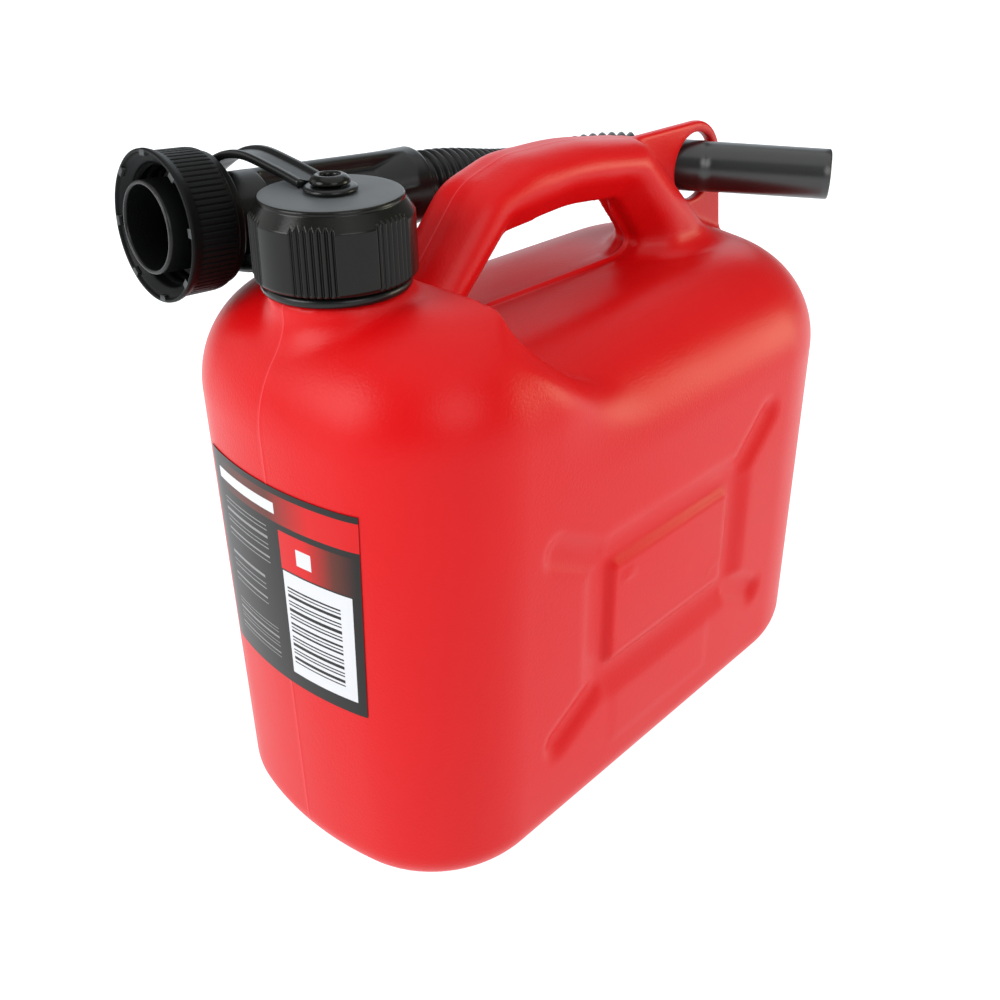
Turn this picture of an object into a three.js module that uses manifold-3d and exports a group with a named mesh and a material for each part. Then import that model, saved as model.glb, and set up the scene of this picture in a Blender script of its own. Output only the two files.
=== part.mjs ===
// Five litre fuel can with a tethered screw cap and a pouring spout stowed beside the handle.
// Millimetres, +Z up. X runs along the can with the filler neck at its -X end. The base stands on Z = 0.
import * as THREE from 'three';
import { mergeVertices } from 'three/examples/jsm/utils/BufferGeometryUtils.js';
import Module from 'manifold-3d';

const wasm = await Module();
wasm.setup();

// Can shell
const LENGTH = 266;
const WIDTH = 131;
const WALL = 3.2;
const DRAFT = 0.016;            // sideways growth of the walls per unit of height
const DRAFT_HEIGHT = 80;        // height at which LENGTH and WIDTH are measured
const BASE_EDGE = 14;           // rounding radius where walls meet the base
const ROOF_HEIGHT = 183;
const ROOF_EDGE = 40;           // rounding radius where walls meet the roof
const DOME_HEIGHT = 206;        // raised front roof around the neck
const DOME_EDGE = 38;
const NECK_X = 33 - LENGTH / 2;
const DOME_BACK_X = NECK_X + 27.5; // steep rear wall of the dome
// How far that wall sweeps back, and the half width where it does so
const DOME_SWEEP = [[0, 52], [1.5, 57], [10.5, 63], [19, 69]];
const FRONT = { bulge: 133, corner: 46 };
const REAR = { bulge: 98, corner: 62 };

// Handle, drawn in the XZ plane: corner x, corner z, corner radius
const HANDLE_WIDTH = 30;
const HANDLE_EDGE = 9;
const HANDLE_OUTLINE = [
  [-97, 172, 2], [108, 172, 2], [46, 230.9, 14], [8, 236, 150], [-24, 236, 40], [-46, 229.5, 22],
];
const HANDLE_OPENING = [
  [-67, 175, 3], [48, 175, 3], [49.5, 190.5, 12], [33, 210.6, 8], [2, 213.6, 60], [-31, 210.6, 2.5],
];

// Lug behind the handle that holds the nozzle
const LUG_THICKNESS = 4.5;
const LUG_EYE = { x: LENGTH / 2 - 42, z: 211.5, hole: 14.1, rim: 18.6 };
const LUG_FRONT = { footX: 75, topX: 42 };
const LUG_FOOT_X = LENGTH / 2 - 18.5;
const LUG_FOOT_Z = 172;

// Grooves pressed into both sides: a frame with one arm at each corner
const GROOVE_DEPTH = 2.2;
const GROOVE_RADIUS = 18;
const FRAME_CENTRE = { x: -3.5, z: 82.6 };
const FRAME_HALF = { x: 43.5, z: 28.1 };
const ARM_REACH = { x: 24, z: 15 };

// Neck, tether ring and cap share one upright axis
const NECK_RADIUS = 18.2;
const NECK_BORE = 15.6;
const NECK_COLLAR = { radius: 21.5, foot: 27, top: 208.5 };
const NECK_TOP = 232.2;
const THREAD_PITCH = 4;
const THREAD_HEIGHT = 1.3;
const THREAD_WIDTH = 1.5;
const THREAD_TURNS = 1.5;
const THREAD_START_Z = 220;
const THREAD_GAP = 0.35;

const CAP_BOTTOM = 213.6;
const CAP_SHOULDER = 231.6;     // where the slope round the top edge begins
const CAP_RIM = 236.4;
const CAP_TOP = 238;
const CAP_FOOT_RADIUS = 24.4;
const CAP_SHOULDER_RADIUS = 24.2;
const CAP_TOP_RADIUS = 22.2;
const CAP_GROUPS = 6;
const CAP_GROUP_PHASE = THREE.MathUtils.degToRad(36.5);
const CAP_GROUP_FLUTES = 6;
const CAP_FLUTE_ANGLE = THREE.MathUtils.degToRad(5);
const CAP_FLUTE_DEPTH = 0.8;
const LINER_THICKNESS = 2;
const LINER_RADIUS = 18;
const KNOB = { stem: 3.3, head: 6.2, hole: 2.6, neckTop: 241.2, top: 243.4 };

const STRAP_WIDTH = 11;
const STRAP_THICKNESS = 2.6;
const STRAP_CHANNEL = 0.8;
const RING = { inner: 18.7, outer: 23.4, bottom: 208.8, top: 211.8 };
const EYELET = { hole: 3.7, outer: 8.3, bottom: 238.3, top: 240.9 };

// Spout: a straight base along the can, a curved hose, then a straight nozzle through the lug
const SPOUT_START = new THREE.Vector3(4 - LENGTH / 2, 54.9, 222.6);
const BASE_SLOPE = -0.0567;     // rise of the base per unit of its length
const BASE_HEADING = THREE.MathUtils.degToRad(-2.85);
const NOZZLE_HEADING = THREE.MathUtils.degToRad(-58);
const BASE_LENGTH = 106.5;
const HOSE_BEND = 68;
const HOSE_SAG = 3;
const HOSE_CREST = 12.4;
const HOSE_ROOT = 10.9;
const HOSE_BORE = 9.7;
const HOSE_PITCH = 3.6;
const HOSE_CUFF = 5;
const SPIGOT_RADIUS = 9.4;
const SPIGOT_LENGTH = 8;
const NOZZLE_BEFORE_LUG = 20;
const NOZZLE_AFTER_LUG = 57;
const NOZZLE_CUFF = { radius: 11.2, length: 8 };
const NOZZLE_RADIUS = 10.6;
const NOZZLE_TIP_RADIUS = 10.2;
const NOZZLE_BORE = 8.2;

const NUT = { length: 21.4, flange: 24.6, flangeLength: 3, body: 23, lip: 23.3, lipLength: 3.6, teeth: 44 };
const NUT_MOUTH = { radius: 23.4, rim: 0.8, depth: 3.2 };
const NUT_BORE = 20;
const NUT_BACK_WALL = 3.6;
const SPOUT_TUBE = 14;
const SPOUT_TUBE_END = 39;
const SPOUT_MOUTH = { radius: 15, reach: 2.2, bore: 13.4 };
const SPOUT_TUBE_BORE = 12.2;
const SPOUT_FLANGE = { radius: 18.8, thickness: 2.6 };
const SPOUT_CORE = 10.6;
const SPOUT_BORE = 8.2;
const SPOUT_RING = { radius: 14.5, length: 7 };
const RAIL_WIDTH = 5;
const RAIL_COUNT = 4;
const GASKET_THICKNESS = 2;
const RUN_GAP = 0.3;            // clearance between pieces that touch or slide

// Label on the bulged front
const LABEL = { halfWidth: 36, bottom: 76, top: 154, gap: 0.15, thickness: 0.3 };

const red = new THREE.MeshStandardMaterial({ color: 0xc4161c, roughness: 0.5, metalness: 0 });
const black = new THREE.MeshStandardMaterial({ color: 0x141517, roughness: 0.42, metalness: 0 });
const rubber = new THREE.MeshStandardMaterial({ color: 0x1f2022, roughness: 0.8, metalness: 0 });
const printed = new THREE.MeshStandardMaterial({ color: 0x1b1a1c, roughness: 0.35, metalness: 0 });

// Turns any closed geometry into a solid that can be joined and cut.
function solid(geometry) {
  const bare = new THREE.BufferGeometry();
  bare.setAttribute('position', geometry.getAttribute('position').clone());
  bare.setIndex(geometry.getIndex());
  const welded = mergeVertices(bare, 1e-4);
  const corners = welded.getIndex().array;
  const faces = [];
  for (let i = 0; i < corners.length; i += 3) {
    const [a, b, c] = corners.slice(i, i + 3);
    if (a !== b && b !== c && c !== a) {
      faces.push(a, b, c);
    }
  }
  return new wasm.Manifold(new wasm.Mesh({
    numProp: 3,
    vertProperties: new Float32Array(welded.getAttribute('position').array),
    triVerts: new Uint32Array(faces),
  }));
}

function piece(name, body, material) {
  const faces = body.getMesh();
  const geometry = new THREE.BufferGeometry();
  geometry.setAttribute('position', new THREE.BufferAttribute(new Float32Array(faces.vertProperties), 3));
  geometry.setIndex(new THREE.BufferAttribute(new Uint32Array(faces.triVerts), 1));
  geometry.computeVertexNormals();
  const mesh = new THREE.Mesh(geometry, material);
  mesh.name = name;
  return mesh;
}

// Skins a row of rings with equal numbers of points, each anticlockwise seen from the last ring's side.
function loft(rings) {
  const count = rings[0].length;
  const points = rings.flat();
  const faces = [];
  for (let k = 0; k + 1 < rings.length; k += 1) {
    for (let i = 0; i < count; i += 1) {
      const a = k * count + i;
      const b = k * count + ((i + 1) % count);
      faces.push(a, b, b + count, a, b + count, a + count);
    }
  }
  const middle = (ring) => ring.reduce((sum, p) => sum.add(p), new THREE.Vector3()).divideScalar(count);
  const first = points.length;
  points.push(middle(rings[0]), middle(rings[rings.length - 1]));
  const lastStart = (rings.length - 1) * count;
  for (let i = 0; i < count; i += 1) {
    const next = (i + 1) % count;
    faces.push(first, next, i, first + 1, lastStart + i, lastStart + next);
  }
  const geometry = new THREE.BufferGeometry().setFromPoints(points);
  geometry.setIndex(faces);
  return solid(geometry);
}

function arc(cx, cy, radius, from, to, steps) {
  const points = [];
  for (let i = 0; i <= steps; i += 1) {
    const angle = from + ((to - from) * i) / steps;
    points.push(new THREE.Vector2(cx + radius * Math.cos(angle), cy + radius * Math.sin(angle)));
  }
  return points;
}

// One end of the can's plan, from the -Y side round to the +Y side, as if it faced +X.
function planEnd({ bulge, corner }, inset, cornerSteps) {
  const across = WIDTH / 2 - corner;
  const along = Math.sqrt((bulge - corner) ** 2 - across ** 2);
  const turn = Math.atan2(across, along);
  const bulgeX = LENGTH / 2 - bulge;
  return [
    ...arc(bulgeX + along, -across, corner - inset, -Math.PI / 2, -turn, cornerSteps),
    ...arc(bulgeX, 0, bulge - inset, -turn, turn, 6).slice(1, -1),
    ...arc(bulgeX + along, across, corner - inset, turn, Math.PI / 2, cornerSteps),
  ];
}

function plan(inset) {
  const rear = planEnd(REAR, inset, 8);
  const front = planEnd(FRONT, inset, 7).map((p) => new THREE.Vector2(-p.x, -p.y));
  return [...rear, ...front];
}

// The can's closed form under a given roof, shrunk all round by the wall for its hollow.
// The raised front roof is only built from the height where the main roof starts to curve in.
function tank(roof, edge, wall, raised) {
  const rings = [];
  const level = (inset, z) => {
    const outline = plan(inset - DRAFT * (z - DRAFT_HEIGHT));
    rings.push(outline.map((p) => new THREE.Vector3(p.x, p.y, z)));
  };
  const rounding = (radius, steps, place) => {
    for (let i = 0; i <= steps; i += 1) {
      const angle = ((i / steps) * Math.PI) / 2;
      place(radius * (1 - Math.cos(angle)), radius * (1 - Math.sin(angle)));
    }
  };
  if (raised) {
    level(wall, ROOF_HEIGHT - ROOF_EDGE);
  } else {
    rounding(BASE_EDGE - wall, 3, (rise, inset) => level(wall + inset, wall + rise));
  }
  rounding(edge - wall, 6, (inset, drop) => level(wall + inset, roof - wall - drop));
  return loft(rings);
}

// Convex polygon with rounded corners, pushed outward by a distance; corners run anticlockwise.
function roundedPolygon(corners, grow, steps) {
  const count = corners.length;
  const edges = corners.map(([x, y], i) => {
    const [nx, ny] = corners[(i + 1) % count];
    const along = new THREE.Vector2(nx - x, ny - y).normalize();
    return { along, start: new THREE.Vector2(x + along.y * grow, y - along.x * grow) };
  });
  const points = [];
  corners.forEach(([, , radius], i) => {
    const before = edges[(i + count - 1) % count];
    const after = edges[i];
    const gap = after.start.clone().sub(before.start);
    const reach = gap.cross(after.along) / before.along.cross(after.along);
    const corner = before.start.clone().addScaledVector(before.along, reach);
    const turn = Math.acos(before.along.dot(after.along));
    const rounded = Math.max(radius + grow, 0.5);
    const centre = corner.clone().addScaledVector(before.along, -rounded * Math.tan(turn / 2));
    centre.add(new THREE.Vector2(-before.along.y, before.along.x).multiplyScalar(rounded));
    const from = Math.atan2(-before.along.x, before.along.y);
    points.push(...arc(centre.x, centre.y, rounded, from, from + turn, steps));
  });
  return points;
}

// Layer of a form drawn in XZ and rounded over towards both faces, running from +Y to -Y.
function cushion(corners, grow, width, edge, flare) {
  const rings = [];
  const level = (y, change) => {
    const outline = roundedPolygon(corners, grow + flare * change, 4);
    rings.push(outline.map((p) => new THREE.Vector3(p.x, y, p.y)));
  };
  const steps = 4;
  const flat = width / 2 - edge;
  for (let i = 0; i <= steps; i += 1) {
    const angle = ((i / steps) * Math.PI) / 2;
    level(flat + edge * Math.cos(angle), edge * (1 - Math.sin(angle)));
  }
  for (let i = steps; i >= 0; i -= 1) {
    const angle = ((i / steps) * Math.PI) / 2;
    level(-flat - edge * Math.cos(angle), edge * (1 - Math.sin(angle)));
  }
  return loft(rings);
}

// The handle is a rounded bow; the gap for the hand flares at both faces.
function handle(wall) {
  const width = HANDLE_WIDTH - 2 * wall;
  const edge = HANDLE_EDGE - wall;
  const bow = cushion(HANDLE_OUTLINE, -wall, width, edge, -1);
  const flared = cushion(HANDLE_OPENING, wall, width + 0.02, edge, 1);
  return bow.subtract(flared);
}

function lug() {
  const shape = new THREE.Shape();
  shape.moveTo(LUG_FRONT.footX, LUG_FOOT_Z);
  shape.lineTo(LUG_FOOT_X, LUG_FOOT_Z);
  shape.absarc(LUG_EYE.x, LUG_EYE.z, LUG_EYE.rim, 0, Math.PI / 2, false);
  shape.lineTo(LUG_FRONT.topX, LUG_EYE.z + LUG_EYE.rim);
  shape.holes.push(new THREE.Path().absarc(LUG_EYE.x, LUG_EYE.z, LUG_EYE.hole, 0, 2 * Math.PI, true));
  const geometry = new THREE.ExtrudeGeometry(shape, {
    depth: LUG_THICKNESS, bevelEnabled: false, curveSegments: 16,
  });
  geometry.rotateX(Math.PI / 2);
  geometry.translate(0, LUG_THICKNESS / 2, 0);
  return solid(geometry);
}

// Profile points are radius, height; the first and last lie on the axis.
function turned(profile, segments) {
  const geometry = new THREE.LatheGeometry(profile.map(([r, h]) => new THREE.Vector2(r, h)), segments);
  geometry.rotateX(Math.PI / 2);
  return solid(geometry);
}

function rod(radius, from, to, segments) {
  return turned([[0, from], [radius, from], [radius, to], [0, to]], segments);
}

// Right-handed thread ridge about the Z axis. Positive height stands outward, negative inward.
function ridge(radius, height, startZ) {
  const rings = [];
  const perTurn = 24;
  const steps = Math.round(THREAD_TURNS * perTurn);
  const sink = Math.sign(height) * 0.4;
  for (let i = 0; i <= steps; i += 1) {
    const turn = (i / steps) * THREAD_TURNS;
    const angle = 2 * Math.PI * (turn + 0.2 / perTurn);
    const z = startZ + turn * THREAD_PITCH;
    const at = (r, dz) => new THREE.Vector3(r * Math.cos(angle), r * Math.sin(angle), z + dz);
    const foot = radius - sink;
    const crest = radius + height;
    const ring = [
      at(foot, -THREAD_WIDTH / 2), at(foot, THREAD_WIDTH / 2),
      at(crest, THREAD_WIDTH / 5), at(crest, -THREAD_WIDTH / 5),
    ];
    rings.push(height > 0 ? ring : ring.reverse());
  }
  return loft(rings);
}

function neck() {
  const rise = turned([
    [0, NECK_COLLAR.top - 16], [NECK_COLLAR.foot, NECK_COLLAR.top - 16],
    [NECK_COLLAR.foot, NECK_COLLAR.top - 13], [NECK_COLLAR.radius, NECK_COLLAR.top - 3],
    [NECK_COLLAR.radius, NECK_COLLAR.top], [NECK_RADIUS, NECK_COLLAR.top],
    [NECK_RADIUS, NECK_TOP], [0, NECK_TOP],
  ], 48);
  return rise.add(ridge(NECK_RADIUS, THREAD_HEIGHT, THREAD_START_Z)).translate(NECK_X, 0, 0);
}

// Round-bottomed bars that press the frame and its arms into one side of the can.
function grooves(side) {
  const bar = (form, radius, x0, z0, x1, z1) => {
    const y = side * (WIDTH / 2 - GROOVE_DEPTH + radius);
    const from = new THREE.Vector3(x0, y, z0);
    const to = new THREE.Vector3(x1, y, z1);
    const turn = new THREE.Quaternion();
    turn.setFromUnitVectors(new THREE.Vector3(0, 1, 0), to.clone().sub(from).normalize());
    const geometry = form(radius, from.distanceTo(to));
    geometry.applyQuaternion(turn);
    geometry.translate(...from.add(to).divideScalar(2).toArray());
    return solid(geometry);
  };
  const straight = (radius, length) => new THREE.CylinderGeometry(radius, radius, length + radius / 2, 40);
  const rounded = (radius, length) => new THREE.CapsuleGeometry(radius, length, 5, 22);
  const bars = [];
  for (const end of [-1, 1]) {
    const x = FRAME_CENTRE.x + end * FRAME_HALF.x;
    const z = FRAME_CENTRE.z + end * FRAME_HALF.z;
    const left = FRAME_CENTRE.x - FRAME_HALF.x;
    const right = FRAME_CENTRE.x + FRAME_HALF.x;
    const low = FRAME_CENTRE.z - FRAME_HALF.z;
    const high = FRAME_CENTRE.z + FRAME_HALF.z;
    bars.push(bar(straight, GROOVE_RADIUS, x, low, x, high));
    bars.push(bar(straight, GROOVE_RADIUS, left, z, right, z));
    for (const up of [-1, 1]) {
      const armZ = FRAME_CENTRE.z + up * FRAME_HALF.z;
      bars.push(bar(rounded, 0.96 * GROOVE_RADIUS, x, armZ, x + end * ARM_REACH.x, armZ + up * ARM_REACH.z));
    }
  }
  return bars.reduce((sum, one) => sum.add(one));
}

// Everything in front of the dome's rear wall, which sweeps back towards both sides of the can.
function beforeWall(wall) {
  const shape = new THREE.Shape();
  const [reach, widest] = DOME_SWEEP[DOME_SWEEP.length - 1];
  shape.moveTo(-LENGTH, WIDTH);
  shape.lineTo(-LENGTH, -WIDTH);
  shape.lineTo(DOME_BACK_X - wall + reach + WIDTH - widest, -WIDTH);
  for (const [back, across] of [...DOME_SWEEP].reverse()) {
    shape.lineTo(DOME_BACK_X - wall + back, -across);
  }
  for (const [back, across] of DOME_SWEEP) {
    shape.lineTo(DOME_BACK_X - wall + back, across);
  }
  shape.lineTo(DOME_BACK_X - wall + reach + WIDTH - widest, WIDTH);
  return solid(new THREE.ExtrudeGeometry(shape, { depth: 2 * DOME_HEIGHT, bevelEnabled: false }));
}

function canBody() {
  const form = (wall) => tank(ROOF_HEIGHT, ROOF_EDGE, wall, false)
    .add(tank(DOME_HEIGHT, DOME_EDGE, wall, true).intersect(beforeWall(wall)))
    .add(handle(wall));
  const bore = rod(NECK_BORE, ROOF_HEIGHT + 7, NECK_TOP + 1, 32).translate(NECK_X, 0, 0);
  return form(0).add(lug()).add(neck())
    .subtract(grooves(-1)).subtract(grooves(1))
    .subtract(form(WALL)).subtract(bore);
}

function frontLabel() {
  const skin = (inset) => planEnd(FRONT, inset, 24).filter((p) => Math.abs(p.y) < LABEL.halfWidth);
  const outer = skin(-LABEL.gap - LABEL.thickness);
  const inner = skin(-LABEL.gap).reverse();
  const strip = [...outer, ...inner].map((p) => new THREE.Vector2(-p.x, -p.y));
  const geometry = new THREE.ExtrudeGeometry(new THREE.Shape(strip), {
    depth: LABEL.top - LABEL.bottom, bevelEnabled: false,
  });
  geometry.translate(0, 0, LABEL.bottom);
  const lean = new THREE.Matrix4().makeShear(0, 0, 0, 0, -DRAFT, 0);
  geometry.translate(DRAFT * DRAFT_HEIGHT, 0, 0);
  geometry.applyMatrix4(lean);
  return solid(geometry);
}

// Outline of the cap's skirt: smooth panels between groups of upright flutes.
function capOutline(radius, depth, z) {
  const points = [];
  const group = CAP_GROUP_FLUTES * CAP_FLUTE_ANGLE;
  const panel = (2 * Math.PI) / CAP_GROUPS - group;
  const at = (angle, r) => points.push(new THREE.Vector3(r * Math.cos(angle), r * Math.sin(angle), z));
  for (let g = 0; g < CAP_GROUPS; g += 1) {
    const start = CAP_GROUP_PHASE + (g * 2 * Math.PI) / CAP_GROUPS - group / 2;
    for (let i = 0; i < CAP_GROUP_FLUTES; i += 1) {
      at(start + i * CAP_FLUTE_ANGLE, radius - depth);
      at(start + (i + 0.5) * CAP_FLUTE_ANGLE, radius);
    }
    for (let i = 0; i < 4; i += 1) {
      at(start + group + (i * panel) / 4, radius - depth);
    }
  }
  return points;
}

function capShell() {
  const ceiling = NECK_TOP + LINER_THICKNESS + 2 * RUN_GAP;
  const skirt = loft([
    capOutline(CAP_FOOT_RADIUS, CAP_FLUTE_DEPTH, CAP_BOTTOM),
    capOutline(CAP_SHOULDER_RADIUS, CAP_FLUTE_DEPTH, CAP_SHOULDER),
    capOutline(CAP_TOP_RADIUS, 0, CAP_RIM),
    capOutline(CAP_TOP_RADIUS - 0.1, 0, CAP_TOP),
  ]);
  const hollow = NECK_RADIUS + THREAD_HEIGHT + THREAD_GAP;
  const knob = turned([
    [0, CAP_TOP - 1], [KNOB.stem, CAP_TOP - 1], [KNOB.stem, KNOB.neckTop], [KNOB.head, KNOB.neckTop + 0.4],
    [KNOB.head - 0.9, KNOB.top], [KNOB.hole, KNOB.top], [KNOB.hole, CAP_TOP + 0.6], [0, CAP_TOP + 0.6],
  ], 24);
  const thread = ridge(hollow, -THREAD_HEIGHT, THREAD_START_Z - THREAD_PITCH / 2);
  return skirt.subtract(rod(hollow, 0, ceiling, 48)).add(thread).add(knob).translate(NECK_X, 0, 0);
}

function capLiner() {
  const bottom = NECK_TOP + RUN_GAP;
  return rod(LINER_RADIUS, bottom, bottom + LINER_THICKNESS, 40).translate(NECK_X, 0, 0);
}

function washer(inner, outer, from, to, segments) {
  return rod(outer, from, to, segments).subtract(rod(inner, from - 1, to + 1, segments));
}

// The strap leaves its neck ring, passes round the spout's base and comes back to the top of the cap.
function strapPath() {
  const baseX = NECK_X - SPOUT_START.x;
  const axisY = SPOUT_START.y + Math.tan(BASE_HEADING) * baseX;
  const axisZ = SPOUT_START.z + BASE_SLOPE * baseX;
  const tilt = (Math.abs(BASE_SLOPE) * STRAP_WIDTH) / 2;
  const under = axisZ - SPOUT_TUBE - RUN_GAP - tilt - STRAP_THICKNESS / 2;
  const ringZ = (RING.bottom + RING.top) / 2;
  const eyeZ = (EYELET.bottom + EYELET.top) / 2;
  const spots = [
    [RING.outer - 1.5, ringZ], [RING.outer + 6, ringZ - 1], [axisY - 12, under + 0.7], [axisY, under],
    [axisY + 13, under + 5], [axisY + 16.6, axisZ], [axisY + 12, axisZ + 11.2], [axisY + 4.5, axisZ + 16.6],
    [axisY - 1.5, axisZ + 19.7], [axisY - 8, axisZ + 22], [axisY - 16.5, axisZ + 23],
    [EYELET.outer + 14.7, eyeZ + 2.6], [EYELET.outer + RUN_GAP, eyeZ],
  ];
  const points = spots.map(([y, z]) => new THREE.Vector3(NECK_X, y, z));
  return new THREE.CatmullRomCurve3(points, false, 'centripetal');
}

function capTether() {
  const path = strapPath();
  const steps = 44;
  const half = STRAP_WIDTH / 2;
  const thick = STRAP_THICKNESS / 2;
  const floor = thick - STRAP_CHANNEL;
  const lip = 1.8;
  const section = [
    [-half, -thick], [half, -thick], [half, thick], [half - lip, thick],
    [half - lip - 0.4, floor], [lip + 0.4 - half, floor], [lip - half, thick], [-half, thick],
  ];
  const rings = [];
  for (let i = 0; i <= steps; i += 1) {
    const spot = path.getPointAt(i / steps);
    const along = path.getTangentAt(i / steps);
    const outward = new THREE.Vector3(1, 0, 0).cross(along);
    const place = (x, t) => new THREE.Vector3(x, 0, 0).add(spot).addScaledVector(outward, -t);
    rings.push(section.map(([x, t]) => place(x, t)));
  }
  const ring = washer(RING.inner, RING.outer, RING.bottom, RING.top, 48).translate(NECK_X, 0, 0);
  return loft(rings).add(ring);
}

function tetherEyelet() {
  return washer(EYELET.hole, EYELET.outer, EYELET.bottom, EYELET.top, 32).translate(NECK_X, 0, 0);
}

// Route of the spout: the base slopes down, then the hose levels out and the nozzle meets the eye of the lug.
const bendTurn = BASE_HEADING - NOZZLE_HEADING;
const bendTangent = HOSE_BEND * Math.tan(bendTurn / 2);
const baseWay = new THREE.Vector2(Math.cos(BASE_HEADING), Math.sin(BASE_HEADING));
const nozzleWay = new THREE.Vector2(Math.cos(NOZZLE_HEADING), Math.sin(NOZZLE_HEADING));
const toEye = new THREE.Vector2(LUG_EYE.x - SPOUT_START.x, -SPOUT_START.y);
const bendStart = toEye.cross(nozzleWay) / baseWay.cross(nozzleWay) - bendTangent;
const bendEnd = bendStart + HOSE_BEND * bendTurn;
const lugDistance = bendEnd + baseWay.cross(toEye) / baseWay.cross(nozzleWay) - bendTangent;
const hoseStart = BASE_LENGTH + SPIGOT_LENGTH;
const hoseSpan = lugDistance - NOZZLE_BEFORE_LUG - SPIGOT_LENGTH - hoseStart;

// How far along the hose a place is, from 0 to 1, and the length it has gained by levelling out.
function levelled(distance) {
  const share = THREE.MathUtils.clamp((distance - hoseStart) / hoseSpan, 0, 1);
  const beyond = Math.max(distance - hoseStart - hoseSpan, 0);
  return { share, gained: (hoseSpan * share ** 2) / 2 + beyond };
}

const lugDrop = SPOUT_START.z + BASE_SLOPE * lugDistance - LUG_EYE.z;
const slopeChange = -lugDrop / levelled(lugDistance).gained;

function routeAt(distance) {
  const turned = THREE.MathUtils.clamp((distance - bendStart) / HOSE_BEND, 0, bendTurn);
  const heading = BASE_HEADING - turned;
  const straight = Math.min(distance, bendStart);
  const after = Math.max(distance - bendEnd, 0);
  const bendX = HOSE_BEND * (baseWay.y - Math.sin(heading));
  const bendY = HOSE_BEND * (Math.cos(heading) - baseWay.x);
  const spot = new THREE.Vector3(
    straight * baseWay.x + bendX + after * Math.cos(heading),
    straight * baseWay.y + bendY + after * Math.sin(heading),
    0,
  ).add(SPOUT_START);
  const { share, gained } = levelled(distance);
  const sag = HOSE_SAG * Math.sin(Math.PI * share) ** 2;
  const sagSlope = ((HOSE_SAG * Math.PI) / hoseSpan) * Math.sin(2 * Math.PI * share);
  spot.z += BASE_SLOPE * distance + slopeChange * gained - sag;
  return { spot, heading, slope: BASE_SLOPE + slopeChange * share - sagSlope };
}

function ringAt(distance, radius, segments) {
  const { spot, heading, slope } = routeAt(distance);
  const across = new THREE.Vector3(-Math.sin(heading), Math.cos(heading), 0);
  const along = new THREE.Vector3(Math.cos(heading), Math.sin(heading), slope).normalize();
  const up = along.clone().cross(across);
  const ring = [];
  for (let i = 0; i < segments; i += 1) {
    const angle = (2 * Math.PI * i) / segments;
    const out = across.clone().multiplyScalar(radius * Math.cos(angle));
    ring.push(spot.clone().add(out).addScaledVector(up, radius * Math.sin(angle)));
  }
  return ring;
}

// Profile points are distance along the route, radius.
function tube(profile, segments) {
  return loft(profile.map(([distance, radius]) => ringAt(distance, radius, segments)));
}

function collarNut() {
  const teeth = (distance, radius, depth) => {
    const ring = ringAt(distance, radius, 2 * NUT.teeth);
    const inner = ringAt(distance, radius - depth, 2 * NUT.teeth);
    return ring.map((p, i) => (i % 2 ? p : inner[i]));
  };
  const bodyEnd = NUT.length - NUT.lipLength;
  const outer = loft([
    teeth(0, NUT.flange - 0.6, 0), teeth(0.8, NUT.flange, 0), teeth(NUT.flangeLength, NUT.flange, 0),
    teeth(NUT.flangeLength + 0.6, NUT.body, 0.7), teeth(bodyEnd, NUT.body, 0.7),
    teeth(bodyEnd + 0.5, NUT.lip, 0), teeth(NUT.length, NUT.lip - 0.6, 0),
  ]);
  const hollow = tube([
    [-1, NUT_MOUTH.radius], [NUT_MOUTH.rim, NUT_MOUTH.radius], [NUT_MOUTH.depth, NUT_BORE],
    [NUT.length - NUT_BACK_WALL, NUT_BORE],
  ], 40);
  const back = tube([[0, SPOUT_TUBE + RUN_GAP], [NUT.length + 1, SPOUT_TUBE + RUN_GAP]], 32);
  return outer.subtract(hollow).subtract(back);
}

const flangeEnd = NUT.length - NUT_BACK_WALL - RUN_GAP;
const flangeStart = flangeEnd - SPOUT_FLANGE.thickness;

function spoutGasket() {
  const end = flangeStart - RUN_GAP;
  const start = end - GASKET_THICKNESS;
  const hole = SPOUT_MOUTH.radius + RUN_GAP;
  const ring = tube([[start, SPOUT_FLANGE.radius], [end, SPOUT_FLANGE.radius]], 36);
  return ring.subtract(tube([[start - 1, hole], [end + 1, hole]], 36));
}

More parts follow.
